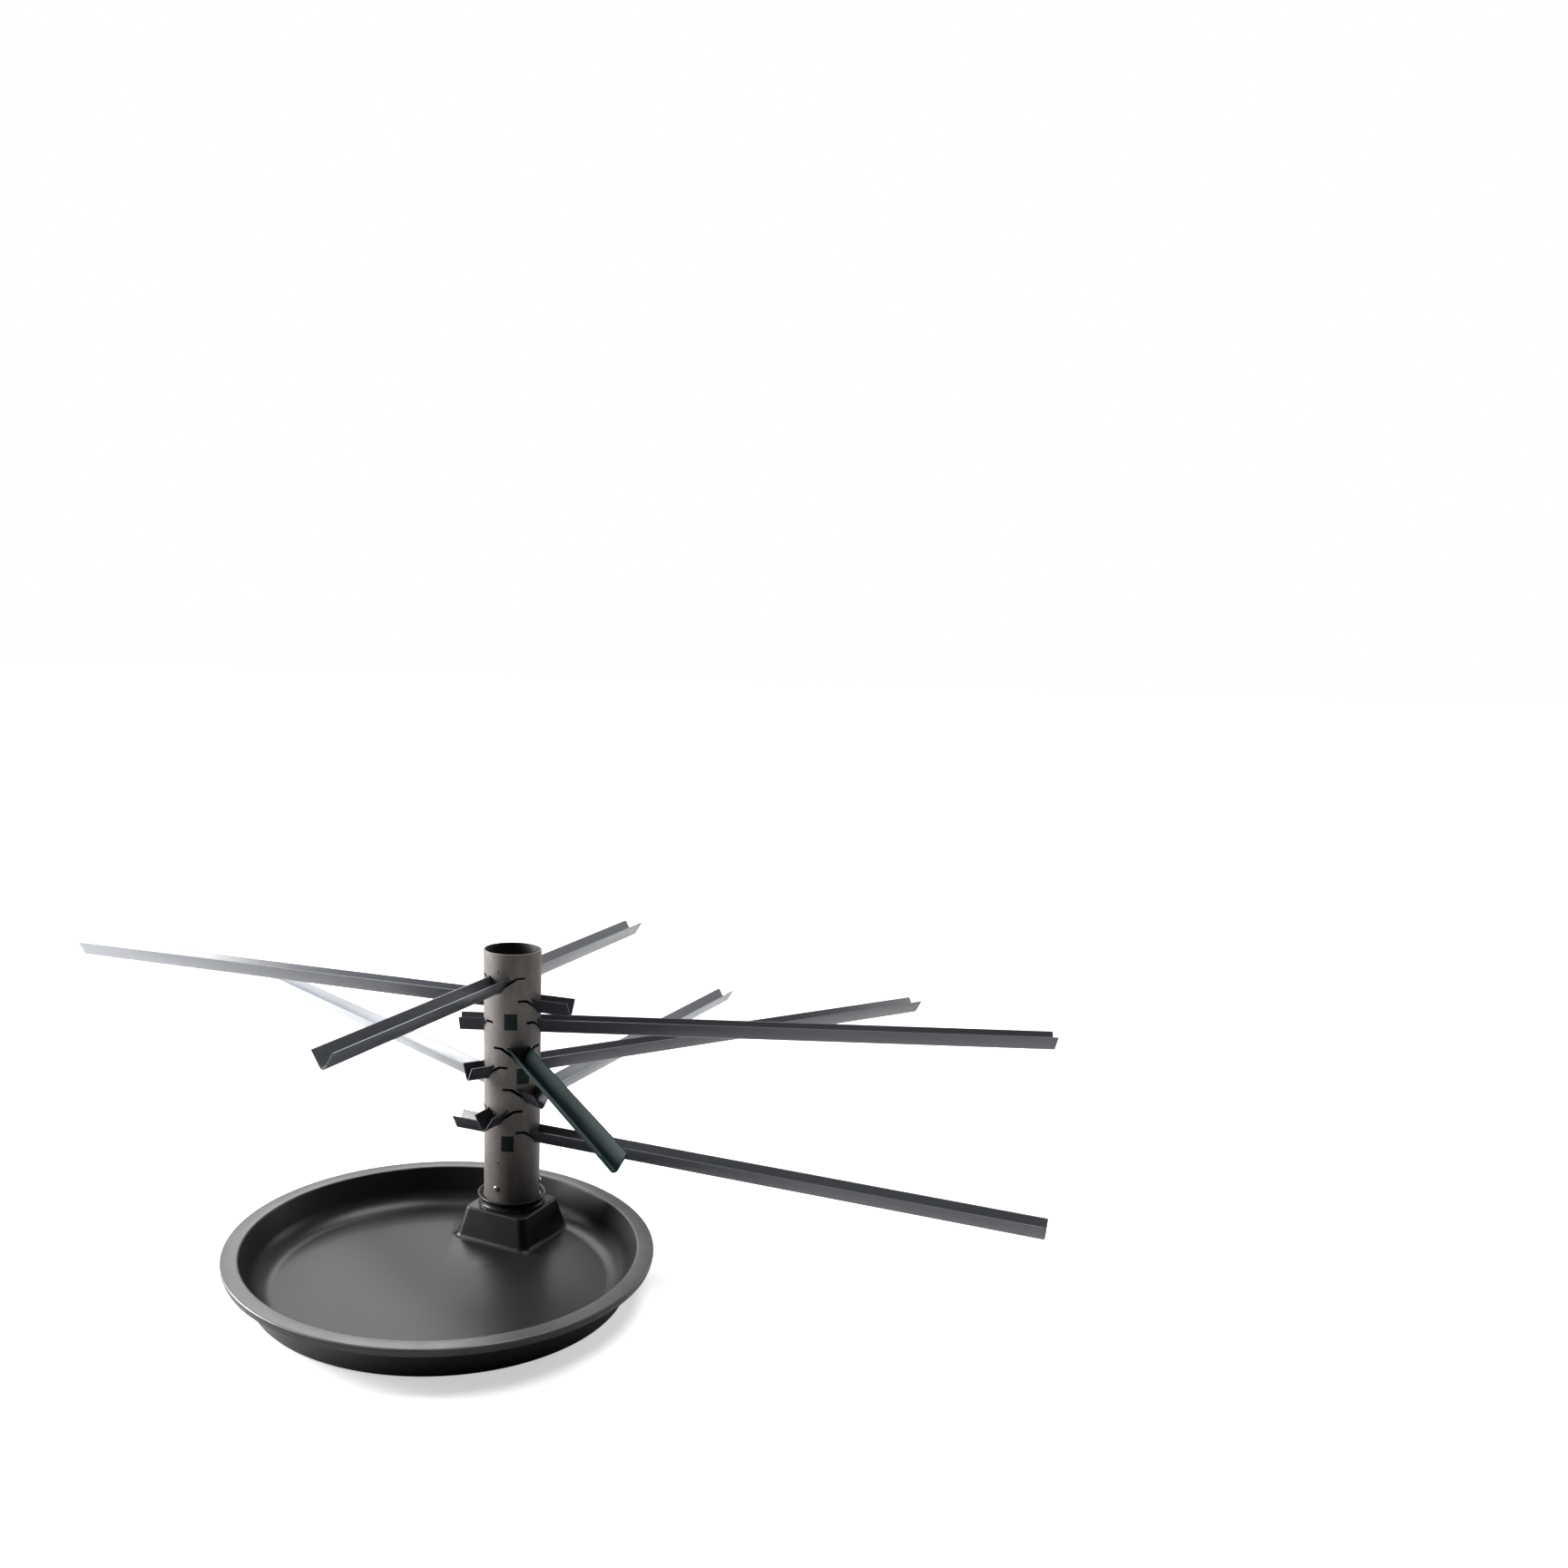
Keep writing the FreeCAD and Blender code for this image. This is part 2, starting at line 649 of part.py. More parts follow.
def make_bush():
    """Sleeve pressed in the mast that turns on the spigot's upper end."""
    body = new_body("swivel_bush")
    low = "(%s - bush_height)" % SPIGOT_TOP
    revolve(body, "Bush", [
        (BUSH_BORE, low, None),
        (MAST_BORE, low, None),
        (MAST_BORE, SPIGOT_TOP, None),
        (BUSH_BORE, SPIGOT_TOP, None),
    ])
    return body


def make_collar():
    """Flared ring glued round the mast's foot, open upwards like a saucer."""
    body = new_body("mast_collar")
    top = "(%s + collar_height)" % MAST_FOOT
    low_radius = "mast_radius + collar_low_spread"
    rim = "mast_radius + collar_top_spread"
    revolve(body, "Collar", [
        ("mast_radius", MAST_FOOT, None),
        (low_radius, MAST_FOOT, None),
        (rim, "%s - 1.2" % top, None),
        (rim, top, None),
        ("%s - collar_wall" % rim, top, None),
        ("%s - collar_wall / 2" % low_radius, "%s + collar_wall" % MAST_FOOT, None),
        ("mast_radius", "%s + collar_wall" % MAST_FOOT, None),
    ])
    return body


def slit_points():
    """Outline of a slit: the arm's V with clearance all round, and on each side a lip that
    climbs outwards from half-way up the flank, then runs level to its rounded tip."""
    low, high = v_corners("slit_clear")
    half = "(arm_wall / 2 + slit_clear)"
    top = "arm_depth + slit_clear"
    reach = "mast_radius * slit_span"
    tip = "(arm_depth - lip_drop)"
    # Along the flank, from a lip's middle line to its two edges
    fork = "(%s * tan(%s + %s) * sin%s + %s * cos%s)" % (half, FLANK, LIP, LIP, half, LIP)
    under = "(lip_foot - %s)" % fork
    over = "(lip_foot + %s)" % fork
    tip_under = "(%s - %s)" % (tip, half)
    tip_over = "(%s + %s)" % (tip, half)
    bend_under = "(%s + (%s - %s) / tan%s)" % (flank_x(low, under), tip_under, under, LIP)
    bend_over = "(%s + (%s - %s) / tan%s)" % (flank_x(low, over), tip_over, over, LIP)
    end_turn = ("%s * tip_round" % half, "left")
    return [
        ("-" + low["x"], low["y"], (low["r"], "left")),
        (low["x"], low["y"], None),
        (flank_x(low, under), under, None),
        (bend_under, tip_under, None),
        (reach, tip_under, end_turn),
        (reach, tip_over, None),
        (bend_over, tip_over, None),
        (flank_x(low, over), over, None),
        (flank_x(low, top), top, None),
        (flank_x(high, top), top, None),
        (high["x"], high["y"], (high["r"], "right")),
        ("-" + high["x"], high["y"], None),
        ("-" + flank_x(high, top), top, None),
        ("-" + flank_x(low, top), top, None),
        ("-" + flank_x(low, over), over, None),
        ("-" + bend_over, tip_over, None),
        ("-(%s)" % reach, tip_over, end_turn),
        ("-(%s)" % reach, tip_under, None),
        ("-" + bend_under, tip_under, None),
        ("-" + flank_x(low, under), under, None),
    ]


def v_corners(clear):
    """Where the V's rounded bottom meets its flanks, outside and inside, grown by a clearance."""
    corners = []
    for radius in ("(arm_bend + %s)" % clear, "(arm_bend - arm_wall - %s)" % clear):
        corners.append({
            "r": radius,
            "x": "(%s * cos%s)" % (radius, FLANK),
            "y": "(arm_bend - %s * sin%s)" % (radius, FLANK),
        })
    return corners


def flank_x(corner, height):
    """Half-width of a flank at a height above the V's lowest line."""
    return "(%s + ((%s) - %s) * tan%s)" % (corner["x"], height, corner["y"], FLANK)


def arm_points():
    """Cross-section of an arm: a V with a rounded bottom and level upper edges."""
    low, high = v_corners("0")
    outer = flank_x(low, "arm_depth")
    inner = flank_x(high, "arm_depth")
    return [
        ("-" + low["x"], low["y"], (low["r"], "left")),
        (low["x"], low["y"], None),
        (outer, "arm_depth", None),
        (inner, "arm_depth", None),
        (high["x"], high["y"], (high["r"], "right")),
        ("-" + high["x"], high["y"], None),
        ("-" + inner, "arm_depth", None),
        ("-" + outer, "arm_depth", None),
    ]


def make_mast():
    """Round tube with a pair of slits for each arm, screw holes, pilot holes and the square
    holes that the marker plugs fill."""
    body = new_body("mast_tube")
    tube = new_sketch(body, "TubeRing", "XY_Plane", offset=MAST_FOOT)
    circle(tube, "0", "0", "mast_radius")
    circle(tube, "0", "0", MAST_BORE)
    pad(body, "Tube", tube, "%s - %s" % (MAST_TOP, MAST_FOOT))
    doc.recompute()
    for name, _, _, _ in ARMS:
        slit = new_sketch(body, name + "_slit", "YZ_Plane", turn=name + "_bearing",
                          shift=level_of(name))
        outline(slit, slit_points())
        pocket(body, name + "_slits", slit, "mast_radius * 3", both=True)
    for _, number in MARKERS:
        window = new_sketch(body, "window%d_outline" % number, "YZ_Plane",
                            turn="marker%d_bearing" % number, shift=MARKER_LEVELS[number])
        outline(window, rounded_box("marker_width / 2", "marker_height / 2", "marker_corner"))
        pocket(body, "Window%d" % number, window, "mast_radius * 1.5", reverse=True)
    for turn in range(int(SIZES["screw_count"])):
        bearing = "screw_bearing + %d * 360 / screw_count" % turn
        hole = new_sketch(body, "screw%d_outline" % turn, "YZ_Plane", turn=bearing,
                          shift=SCREW_LEVEL)
        circle(hole, "0", "0", "screw_radius")
        pocket(body, "ScrewHole%d" % turn, hole, "mast_radius * 1.5", reverse=True)
    pilots = (("PilotLow", "%s - pilot_below" % level_of("arm_8")),
              ("PilotHigh", "%s - pilot_from_top" % MAST_TOP))
    for name, height in pilots:
        hole = new_sketch(body, name + "_outline", "YZ_Plane", turn="pilot_bearing", shift=height)
        circle(hole, "0", "0", "pilot_radius")
        pocket(body, name, hole, "mast_radius * 1.5", reverse=True)
    return body


def make_mast_screws():
    """Domed screws through the mast's foot, whose tips run in the socket's groove."""
    body = new_body("mast_screws")
    for turn in range(int(SIZES["screw_count"])):
        bearing = "screw_bearing + %d * 360 / screw_count" % turn
        tip = "(%s - screw_tip)" % SPIGOT_RADIUS
        shank = new_sketch(body, "Shank%d" % turn, "YZ_Plane", turn=bearing, shift=SCREW_LEVEL)
        move_out(shank, tip, bearing)
        circle(shank, "0", "0", "screw_radius")
        pad(body, "ScrewShank%d" % turn, shank, "mast_radius + screw_head_height / 2 - %s" % tip)
        head = new_sketch(body, "Head%d" % turn, "YZ_Plane", turn=bearing, shift=SCREW_LEVEL)
        move_out(head, "mast_radius", bearing)
        circle(head, "0", "0", "screw_head_radius")
        dome = pad(body, "ScrewHead%d" % turn, head, "screw_head_height")
        doc.recompute()
        rims = [i for i, e in enumerate(dome.Shape.Edges, start=1) if is_head_rim(e, bearing)]
        add_fillet(body, "ScrewDome%d" % turn, "screw_head_height * 0.7", rims)
    return body


def move_out(sketch, distance, bearing):
    """Move a turned upright sketch out along its own normal, which points along the bearing."""
    bind(sketch, "AttachmentOffset.Base.z", "%s * cos((%s) * 1deg)" % (distance, bearing))
    bind(sketch, "AttachmentOffset.Base.x", "%s * sin((%s) * 1deg)" % (distance, bearing))


def is_head_rim(edge, bearing):
    """Is this the outer rim of the screw head that faces a bearing?"""
    if not isinstance(edge.Curve, Part.Circle) or abs(edge.Curve.Radius - value("screw_head_radius")) > 1e-3:
        return False
    angle = math.radians(value(bearing))
    out = edge.Curve.Center.x * math.cos(angle) + edge.Curve.Center.y * math.sin(angle)
    return abs(out - value("mast_radius + screw_head_height")) < 1e-3


def make_marker(name, number):
    """Square-ended plug that fills one window of the mast and stands a little proud of it."""
    body = new_body(name)
    sketch = new_sketch(body, name + "_outline", "YZ_Plane")
    half = "(marker_%s / 2 - marker_clear)"
    outline(sketch, rounded_box(half % "width", half % "height", "marker_corner"))
    bind(sketch, "AttachmentOffset.Base.z", "mast_radius - marker_depth")
    pad(body, name + "_plug", sketch, "marker_depth + marker_proud")
    doc.recompute()
    shave = new_sketch(body, name + "_shave", "XY_Plane", offset="-marker_height")
    circle(shave, "0", "0", "mast_radius * 3")
    circle(shave, "0", "0", "mast_radius + marker_proud")
    pocket(body, name + "_face", shave, "marker_height * 2", reverse=True)
    place(body, z=MARKER_LEVELS[number], turn="marker%d_bearing" % number)
    return body


def make_arm(name, length):
    """One V-channel arm. Its long side points along the arm's bearing."""
    body = new_body(name)
    sketch = new_sketch(body, name + "_section", "YZ_Plane", offset="-%s_stub" % name)
    outline(sketch, arm_points())
    pad(body, name + "_channel", sketch, length)
    place(body, z=level_of(name), turn=name + "_bearing")
    return body


# ----------------------------------------------------------------------------
# Build, check and write
# ----------------------------------------------------------------------------
def check(bodies):
    """Stop if any object failed, or any sub-part has no sound shape."""
    for obj in doc.Objects:
        if "Invalid" in obj.State or "Error" in obj.State:
            raise RuntimeError("%s: %s" % (obj.Label, obj.State))
    for body in bodies:
        if body.Shape.isNull() or not body.Shape.isValid():
            raise RuntimeError("%s has no sound shape" % body.Label)


def main():
    """Make every sub-part, check them, and write one STEP file for each."""
    fill_sheet()
    bodies = [
        make_basin(), make_socket(), make_socket_bolts(), make_bolt_washers(), make_plate(),
        make_cover(), make_cover_screws(), make_thrust_washer(), make_bush(), make_collar(),
        make_mast(), make_mast_screws(),
    ]
    bodies += [make_marker(name, number) for name, number in MARKERS]
    bodies += [make_arm(name, length) for name, _, _, length in ARMS]
    doc.recompute()
    check(bodies)
    os.makedirs("parts", exist_ok=True)
    for body in bodies:
        body.Shape.exportStep("parts/%s.step" % body.Label)
        print("%-16s %9.2f cm3, %d solids" % (
            body.Label, body.Shape.Volume / 1000, len(body.Shape.Solids)))


main()
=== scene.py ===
"""Looks of the turning arm stand: a shallow round basin whose foot carries a slotted mast
with eight V-channel arms.

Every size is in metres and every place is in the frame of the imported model, whose origin lies
on the mast's axis at floor level. Pieces that show are modelled here and stand for their
nodes; what is hidden inside keeps its own mesh and gets a finish.
"""
import json
import logging
import math
from dataclasses import dataclass, field, replace
from enum import Enum
from typing import Iterable, Sequence

import bmesh
import bpy
from mathutils import Matrix, Vector


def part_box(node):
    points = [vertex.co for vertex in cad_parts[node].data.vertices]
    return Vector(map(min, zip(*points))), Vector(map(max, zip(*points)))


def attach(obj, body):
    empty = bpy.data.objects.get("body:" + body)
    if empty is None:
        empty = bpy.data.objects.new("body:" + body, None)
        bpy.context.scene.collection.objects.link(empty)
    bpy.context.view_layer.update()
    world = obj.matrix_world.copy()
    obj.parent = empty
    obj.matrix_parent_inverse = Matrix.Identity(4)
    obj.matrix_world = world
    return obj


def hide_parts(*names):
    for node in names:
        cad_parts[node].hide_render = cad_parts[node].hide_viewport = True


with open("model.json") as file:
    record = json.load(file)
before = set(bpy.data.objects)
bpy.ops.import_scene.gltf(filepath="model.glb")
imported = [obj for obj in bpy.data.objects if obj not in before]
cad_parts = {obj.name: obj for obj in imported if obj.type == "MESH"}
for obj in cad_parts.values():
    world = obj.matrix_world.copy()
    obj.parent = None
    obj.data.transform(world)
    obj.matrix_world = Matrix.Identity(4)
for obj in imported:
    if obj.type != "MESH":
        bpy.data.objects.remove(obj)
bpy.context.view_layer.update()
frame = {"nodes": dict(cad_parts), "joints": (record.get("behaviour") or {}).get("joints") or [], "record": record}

MM = 0.001
UP = Vector((0.0, 0.0, 1.0))
ORIGIN = Vector((0.0, 0.0, 0.0))
MERGE = 1e-6
MARKER_NODES = ("upper_marker", "middle_marker", "lower_marker")

log = logging.getLogger("arm_stand")


# ----------------------------------------------------------------------------
# Small helpers
# ----------------------------------------------------------------------------
def polar(bearing: float, distance: float = 1.0, height: float = 0.0) -> Vector:
    """A point or direction from a bearing in degrees.

    Args:
        bearing: Angle from +X, counter-clockwise seen from above.
        distance: Level distance from the mast's axis.
        height: Height above the floor.

    Returns:
        The point as a vector.
    """
    angle = math.radians(bearing)
    return Vector((distance * math.cos(angle), distance * math.sin(angle), height))


def add_ring(bm: bmesh.types.BMesh, points: Sequence[Vector], closed: bool = True) -> list:
    """Draw a chain of edges through some points.

    Args:
        bm: The mesh that the chain is added to.
        points: The chain's points in order.
        closed: Whether the last point joins the first.

    Returns:
        The chain's vertices and edges in one list, ready for an operator.
    """
    verts = [bm.verts.new(p) for p in points]
    edges = [bm.edges.new(pair) for pair in zip(verts[:-1], verts[1:])]
    if closed:
        edges.append(bm.edges.new((verts[-1], verts[0])))
    return verts + edges


def spin_profile(bm: bmesh.types.BMesh, profile: Sequence[tuple[float, float]], steps: int,
                 closed: bool = True) -> None:
    """Turn a profile of (radius, height) pairs about the Z axis into a closed solid.

    Args:
        bm: The mesh to build in.
        profile: The section's outline in the half-plane of positive radius.
        steps: How many steps make the full turn.
        closed: Whether the outline closes on itself, or starts and ends on the axis.
    """
    geom = add_ring(bm, [Vector((r, 0.0, h)) for r, h in profile], closed)
    bmesh.ops.spin(bm, geom=geom, cent=ORIGIN, axis=UP, angle=math.tau, steps=steps,
                   use_merge=True)
    bmesh.ops.remove_doubles(bm, verts=bm.verts, dist=MERGE)
    bmesh.ops.recalc_face_normals(bm, faces=bm.faces)


def extrude(bm: bmesh.types.BMesh, faces: Sequence, shift: Sequence[float]) -> list:
    """Extrude some faces by a shift.

    Args:
        bm: The mesh.
        faces: The faces that start the solid.
        shift: How far and which way the far end moves.

    Returns:
        The far end's vertices.
    """
    made = bmesh.ops.extrude_face_region(bm, geom=list(faces))
    moved = [g for g in made["geom"] if isinstance(g, bmesh.types.BMVert)]
    bmesh.ops.translate(bm, vec=shift, verts=moved)
    return moved


def add_prism(bm: bmesh.types.BMesh, outline: Sequence[Sequence[float]],
              shift: Sequence[float]) -> list:
    """Extrude a closed outline into a solid.

    Args:
        bm: The mesh to build in.
        outline: The outline's points in order.
        shift: How far and which way the outline is extruded.

    Returns:
        Every vertex of the prism.
    """
    verts = [bm.verts.new(point) for point in outline]
    return verts + extrude(bm, [bm.faces.new(verts)], shift)


def bevel(bm: bmesh.types.BMesh, edges: Iterable, width: float, segments: int = 3) -> None:
    """Round some edges.

    Args:
        bm: The mesh.
        edges: The edges to round.
        width: How far the rounding reaches from each edge.
        segments: How many faces make the rounding.
    """
    bmesh.ops.bevel(bm, geom=list(edges), offset=width, offset_type="OFFSET",
                    segments=segments, profile=0.5, affect="EDGES", material=-1,
                    clamp_overlap=True)


def ring_edges(bm: bmesh.types.BMesh, radius: float, height: float) -> list:
    """The edges of the level circle at a radius from the Z axis and a height."""
    def on_ring(vert) -> bool:
        level = abs(vert.co.z - height) < MM / 20
        return level and abs(math.hypot(vert.co.x, vert.co.y) - radius) < MM / 20
    return [e for e in bm.edges if all(on_ring(v) for v in e.verts)]


def sharp_by_angle(mesh: bpy.types.Mesh, limit: float = 32.0) -> None:
    """Shade a mesh smooth, with its edges kept crisp where it turns by more than a limit."""
    mesh.shade_smooth()
    mesh.set_sharp_from_angle(angle=math.radians(limit))


def finish_mesh(bm: bmesh.types.BMesh, name: str, place: Matrix | None = None,
                limit: float = 32.0) -> bpy.types.Object:
    """Turn a bmesh into a scene object at the origin.

    Args:
        bm: The finished shape. It is freed.
        name: The piece's name.
        place: Where the shape goes. It is applied to the mesh.
        limit: The angle in degrees past which an edge is kept crisp.

    Returns:
        The new object.
    """
    if place is not None:
        bmesh.ops.transform(bm, matrix=place, verts=bm.verts)
    mesh = bpy.data.meshes.new(name)
    bm.to_mesh(mesh)
    bm.free()
    sharp_by_angle(mesh, limit)
    piece = bpy.data.objects.new(name, mesh)
    bpy.context.scene.collection.objects.link(piece)
    return piece


def bake_modifiers(piece: bpy.types.Object) -> None:
    """Apply a piece's modifiers to its mesh."""
    graph = bpy.context.evaluated_depsgraph_get()
    graph.update()
    baked = bpy.data.meshes.new_from_object(piece.evaluated_get(graph))
    piece.modifiers.clear()
    old = piece.data
    piece.data = baked
    bpy.data.meshes.remove(old)
    baked.name = piece.name


def boolean(piece: bpy.types.Object, tool: bpy.types.Object, operation: str) -> None:
    """Cut or join a piece with a tool, and remove the tool.

    Args:
        piece: The piece that is changed.
        tool: The shape that cuts it or joins it.
        operation: DIFFERENCE or UNION.
    """
    modifier = piece.modifiers.new("shape", "BOOLEAN")
    modifier.operation = operation
    modifier.solver = "EXACT"
    modifier.object = tool
    bake_modifiers(piece)
    bpy.data.objects.remove(tool)


def remesh_clean(piece: bpy.types.Object, limit: float = 32.0) -> None:
    """Merge a piece's doubled points and restore its shading after a cut."""
    bm = bmesh.new()
    bm.from_mesh(piece.data)
    bmesh.ops.remove_doubles(bm, verts=bm.verts, dist=MM / 100)
    bmesh.ops.dissolve_degenerate(bm, edges=bm.edges, dist=MM / 100)
    bmesh.ops.recalc_face_normals(bm, faces=bm.faces)
    bm.to_mesh(piece.data)
    bm.free()
    sharp_by_angle(piece.data, limit)


# ----------------------------------------------------------------------------
# Finishes
# ----------------------------------------------------------------------------
class Coords(Enum):
    """What a finish's pattern follows."""

    OBJECT = "Object"
    SURFACE = "UV"


@dataclass(frozen=True)
class Finish:
    """A plastic or metal surface with mottled colour, uneven gloss and fine relief, and on the slate arms a
    painted sheen along them.

    Attributes:
        name: The finish's name, which its material's name starts with.
        dark: Linear colour of the darker patches.
        light: Linear colour of the lighter patches.
        rough: Lowest and highest roughness.
        mottle: Size in metres of the patches of colour and gloss.
        grain: Size in metres of the fine relief.
        relief: Height in metres of the fine relief.
        stretch: How the pattern is stretched along each axis.
        coords: What the pattern follows.
        metallic: 1 for bare metal.
        specular: The shader's specular level.
        speckle: Strength of fine light specks.
        streaks: Strength of fine lines along the pattern's long axis.
        centre: Point that the pattern is centred on.
        pale: Linear colour of the painted sheen that lightens an arm away from the mast.
        fade: Stops of painted sheen along the arm, each a place in metres and a share of the pale colour.
    """

    name: str
    dark: tuple[float, float, float]
    light: tuple[float, float, float]
    rough: tuple[float, float] = (0.4, 0.5)
    mottle: float = 0.06
    grain: float = 0.0012
    relief: float = 0.00005
    stretch: tuple[float, float, float] = (1.0, 1.0, 1.0)
    coords: Coords = Coords.OBJECT
    metallic: float = 0.0
    specular: float = 0.5
    speckle: float = 0.0
    streaks: float = 0.0
    centre: tuple[float, float, float] = (0.0, 0.0, 0.0)
    pale: tuple[float, float, float] = (0.0, 0.0, 0.0)
    fade: tuple[tuple[float, float], ...] = ()

    def material(self) -> bpy.types.Material:
        """Build the node tree, or return the one that is already there.

        Returns:
            The material.
        """
        label = self.name + "_finish"
        known = bpy.data.materials.get(label)
        if known is not None:
            return known
        mat = bpy.data.materials.new(label)
        mat.use_nodes = True
        tree = NodeTree(mat)
        shader = tree.shader
        shader.inputs["Metallic"].default_value = self.metallic
        shader.inputs["Specular IOR Level"].default_value = self.specular
        where = tree.mapping(self.coords, self.stretch, self.centre)
        patches = tree.noise(where, 1.0 / self.mottle, detail=5.0)
        fine = tree.noise(where, 1.0 / self.grain, detail=3.0)
        colour = tree.ramp(patches, 0.32, 0.70, self.dark, self.light)
        if self.speckle > 0.0:
            specks = tree.ramp(tree.noise(where, 0.45 / self.grain, detail=2.0), 0.60, 0.72,
                               (0.0, 0.0, 0.0), (self.speckle,) * 3)
            colour = tree.mix("ADD", colour, specks)
        if self.streaks > 0.0:
            lines = tree.ramp(tree.lines(where), 0.35, 0.70, (1.0 - self.streaks,) * 3,
                              (1.0 + self.streaks,) * 3)
            colour = tree.mix("MULTIPLY", colour, lines)
        # Painted sheen: the colour turns paler along the arm and stands in for light on it.
        if self.fade:
            colour = tree.fade(colour, self.pale, self.fade)
        tree.link(colour, shader.inputs["Base Color"])
        gloss = tree.noise(where, 2.3 / self.mottle, detail=6.0)
        tree.link(tree.span(gloss, 0.3, 0.7, *self.rough), shader.inputs["Roughness"])
        tree.link(tree.bump(fine, self.relief), shader.inputs["Normal"])
        return mat


class NodeTree:
    """A thin layer over a material's nodes, so that a finish reads as a short recipe."""

    def __init__(self, mat: bpy.types.Material) -> None:
        """Take hold of the material's tree and its shader."""
        self.tree = mat.node_tree
        self.shader = next(n for n in self.tree.nodes if n.type == "BSDF_PRINCIPLED")

    def link(self, source, target) -> None:
        """Join an output socket to an input socket."""
        self.tree.links.new(source, target)

    def mapping(self, coords: Coords, stretch: Sequence[float], centre: Sequence[float]):
        """The pattern's coordinates, centred and stretched.

        Args:
            coords: Object coordinates or the piece's UV map.
            stretch: How much longer the pattern is along each axis.
            centre: The point that the pattern is centred on.

        Returns:
            The mapping's output socket.
        """
        source = self.tree.nodes.new("ShaderNodeTexCoord")
        node = self.tree.nodes.new("ShaderNodeMapping")
        node.vector_type = "TEXTURE"
        node.inputs["Location"].default_value = centre
        node.inputs["Scale"].default_value = stretch
        self.link(source.outputs[coords.value], node.inputs["Vector"])
        return node.outputs["Vector"]

    def noise(self, where, scale: float, detail: float):
        """A noise pattern's factor, with scale in waves per metre."""
        node = self.tree.nodes.new("ShaderNodeTexNoise")
        node.inputs["Scale"].default_value = scale
        node.inputs["Detail"].default_value = detail
        node.inputs["Roughness"].default_value = 0.6
        self.link(where, node.inputs["Vector"])
        return node.outputs["Fac"]

    def lines(self, where, scale: float = 420.0):
        """Fine uneven lines that run along the pattern's first axis."""
        node = self.tree.nodes.new("ShaderNodeMapping")
        node.inputs["Scale"].default_value = (0.012, 1.0, 1.0)
        self.link(where, node.inputs["Vector"])
        return self.noise(node.outputs["Vector"], scale, detail=4.0)

    def ramp(self, value, low: float, high: float, first: Sequence[float],
             last: Sequence[float]):
        """Colour that goes from first to last as a value goes from low to high."""
        node = self.tree.nodes.new("ShaderNodeValToRGB")
        start, end = node.color_ramp.elements
        start.position, end.position = low, high
        start.color = (*first, 1.0)
        end.color = (*last, 1.0)
        self.link(value, node.inputs["Fac"])
        return node.outputs["Color"]

    def span(self, value, low: float, high: float, first: float, last: float):
        """A number that goes from first to last as a value goes from low to high."""
        node = self.tree.nodes.new("ShaderNodeMapRange")
        for socket, number in zip(node.inputs[1:5], (low, high, first, last)):
            socket.default_value = number
        self.link(value, node.inputs[0])
        return node.outputs[0]

    def mix(self, blend: str, under, over):
        """One colour laid fully over another by a blend type."""
        node = self.tree.nodes.new("ShaderNodeMix")
        node.data_type = "RGBA"
        node.blend_type = blend
        node.inputs[0].default_value = 1.0
        self.link(under, node.inputs[6])
        self.link(over, node.inputs[7])
        return node.outputs[2]

    def fade(self, colour, pale: Sequence[float], stops: Sequence[tuple[float, float]]):
        """Lay a painted sheen over a colour: it turns to a paler one along the piece's UV map.

        Args:
            colour: The colour under the painted sheen.
            pale: The colour of the painted sheen.
            stops: Places in metres along the map, each with the pale colour's share.

        Returns:
            The mixed colour's socket.
        """
        source = self.tree.nodes.new("ShaderNodeTexCoord")
        parts = self.tree.nodes.new("ShaderNodeSeparateXYZ")
        self.link(source.outputs[Coords.SURFACE.value], parts.inputs[0])
        first, last = stops[0][0], stops[-1][0]
        along = self.span(parts.outputs["X"], first, last, 0.0, 1.0)
        node = self.tree.nodes.new("ShaderNodeValToRGB")
        elements = node.color_ramp.elements
        while len(elements) < len(stops):
            elements.new(0.5)
        for element, (place, share) in zip(elements, stops):
            element.position = (place - first) / (last - first)
            element.color = (share, share, share, 1.0)
        self.link(along, node.inputs["Fac"])
        mixed = self.tree.nodes.new("ShaderNodeMix")
        mixed.data_type = "RGBA"
        mixed.inputs[7].default_value = (*pale, 1.0)
        self.link(node.outputs["Color"], mixed.inputs[0])
        self.link(colour, mixed.inputs[6])
        return mixed.outputs[2]

    def bump(self, height, distance: float):
        """Surface relief from a height pattern."""
        node = self.tree.nodes.new("ShaderNodeBump")
        node.inputs["Strength"].default_value = 1.0
        node.inputs["Distance"].default_value = distance
        self.link(height, node.inputs["Height"])
        return node.outputs["Normal"]


BASIN_BLACK = Finish(
    "basin_black", dark=(0.011, 0.010, 0.011), light=(0.014, 0.013, 0.014), rough=(0.34, 0.37),
    mottle=0.09, grain=0.0016, relief=0.00001, specular=0.32)
# The lip's paler colour is partly painted highlight and stands in for the light that its top reflects.
BASIN_RIM = Finish(
    "basin_rim", dark=(0.062, 0.060, 0.064), light=(0.080, 0.078, 0.083), rough=(0.30, 0.38),
    mottle=0.05, grain=0.0012, relief=0.00003)
SOCKET_BLACK = Finish(
    "socket_black", dark=(0.015, 0.013, 0.013), light=(0.024, 0.021, 0.020), rough=(0.22, 0.32),
    mottle=0.03, grain=0.0012, relief=0.00002)
MAST_GREY = Finish(
    "mast_grey", dark=(0.105, 0.093, 0.085), light=(0.160, 0.144, 0.132), rough=(0.46, 0.56),
    mottle=0.022, grain=0.0011, relief=0.00003, stretch=(1.0, 1.0, 2.2), specular=0.4,
    speckle=0.05)
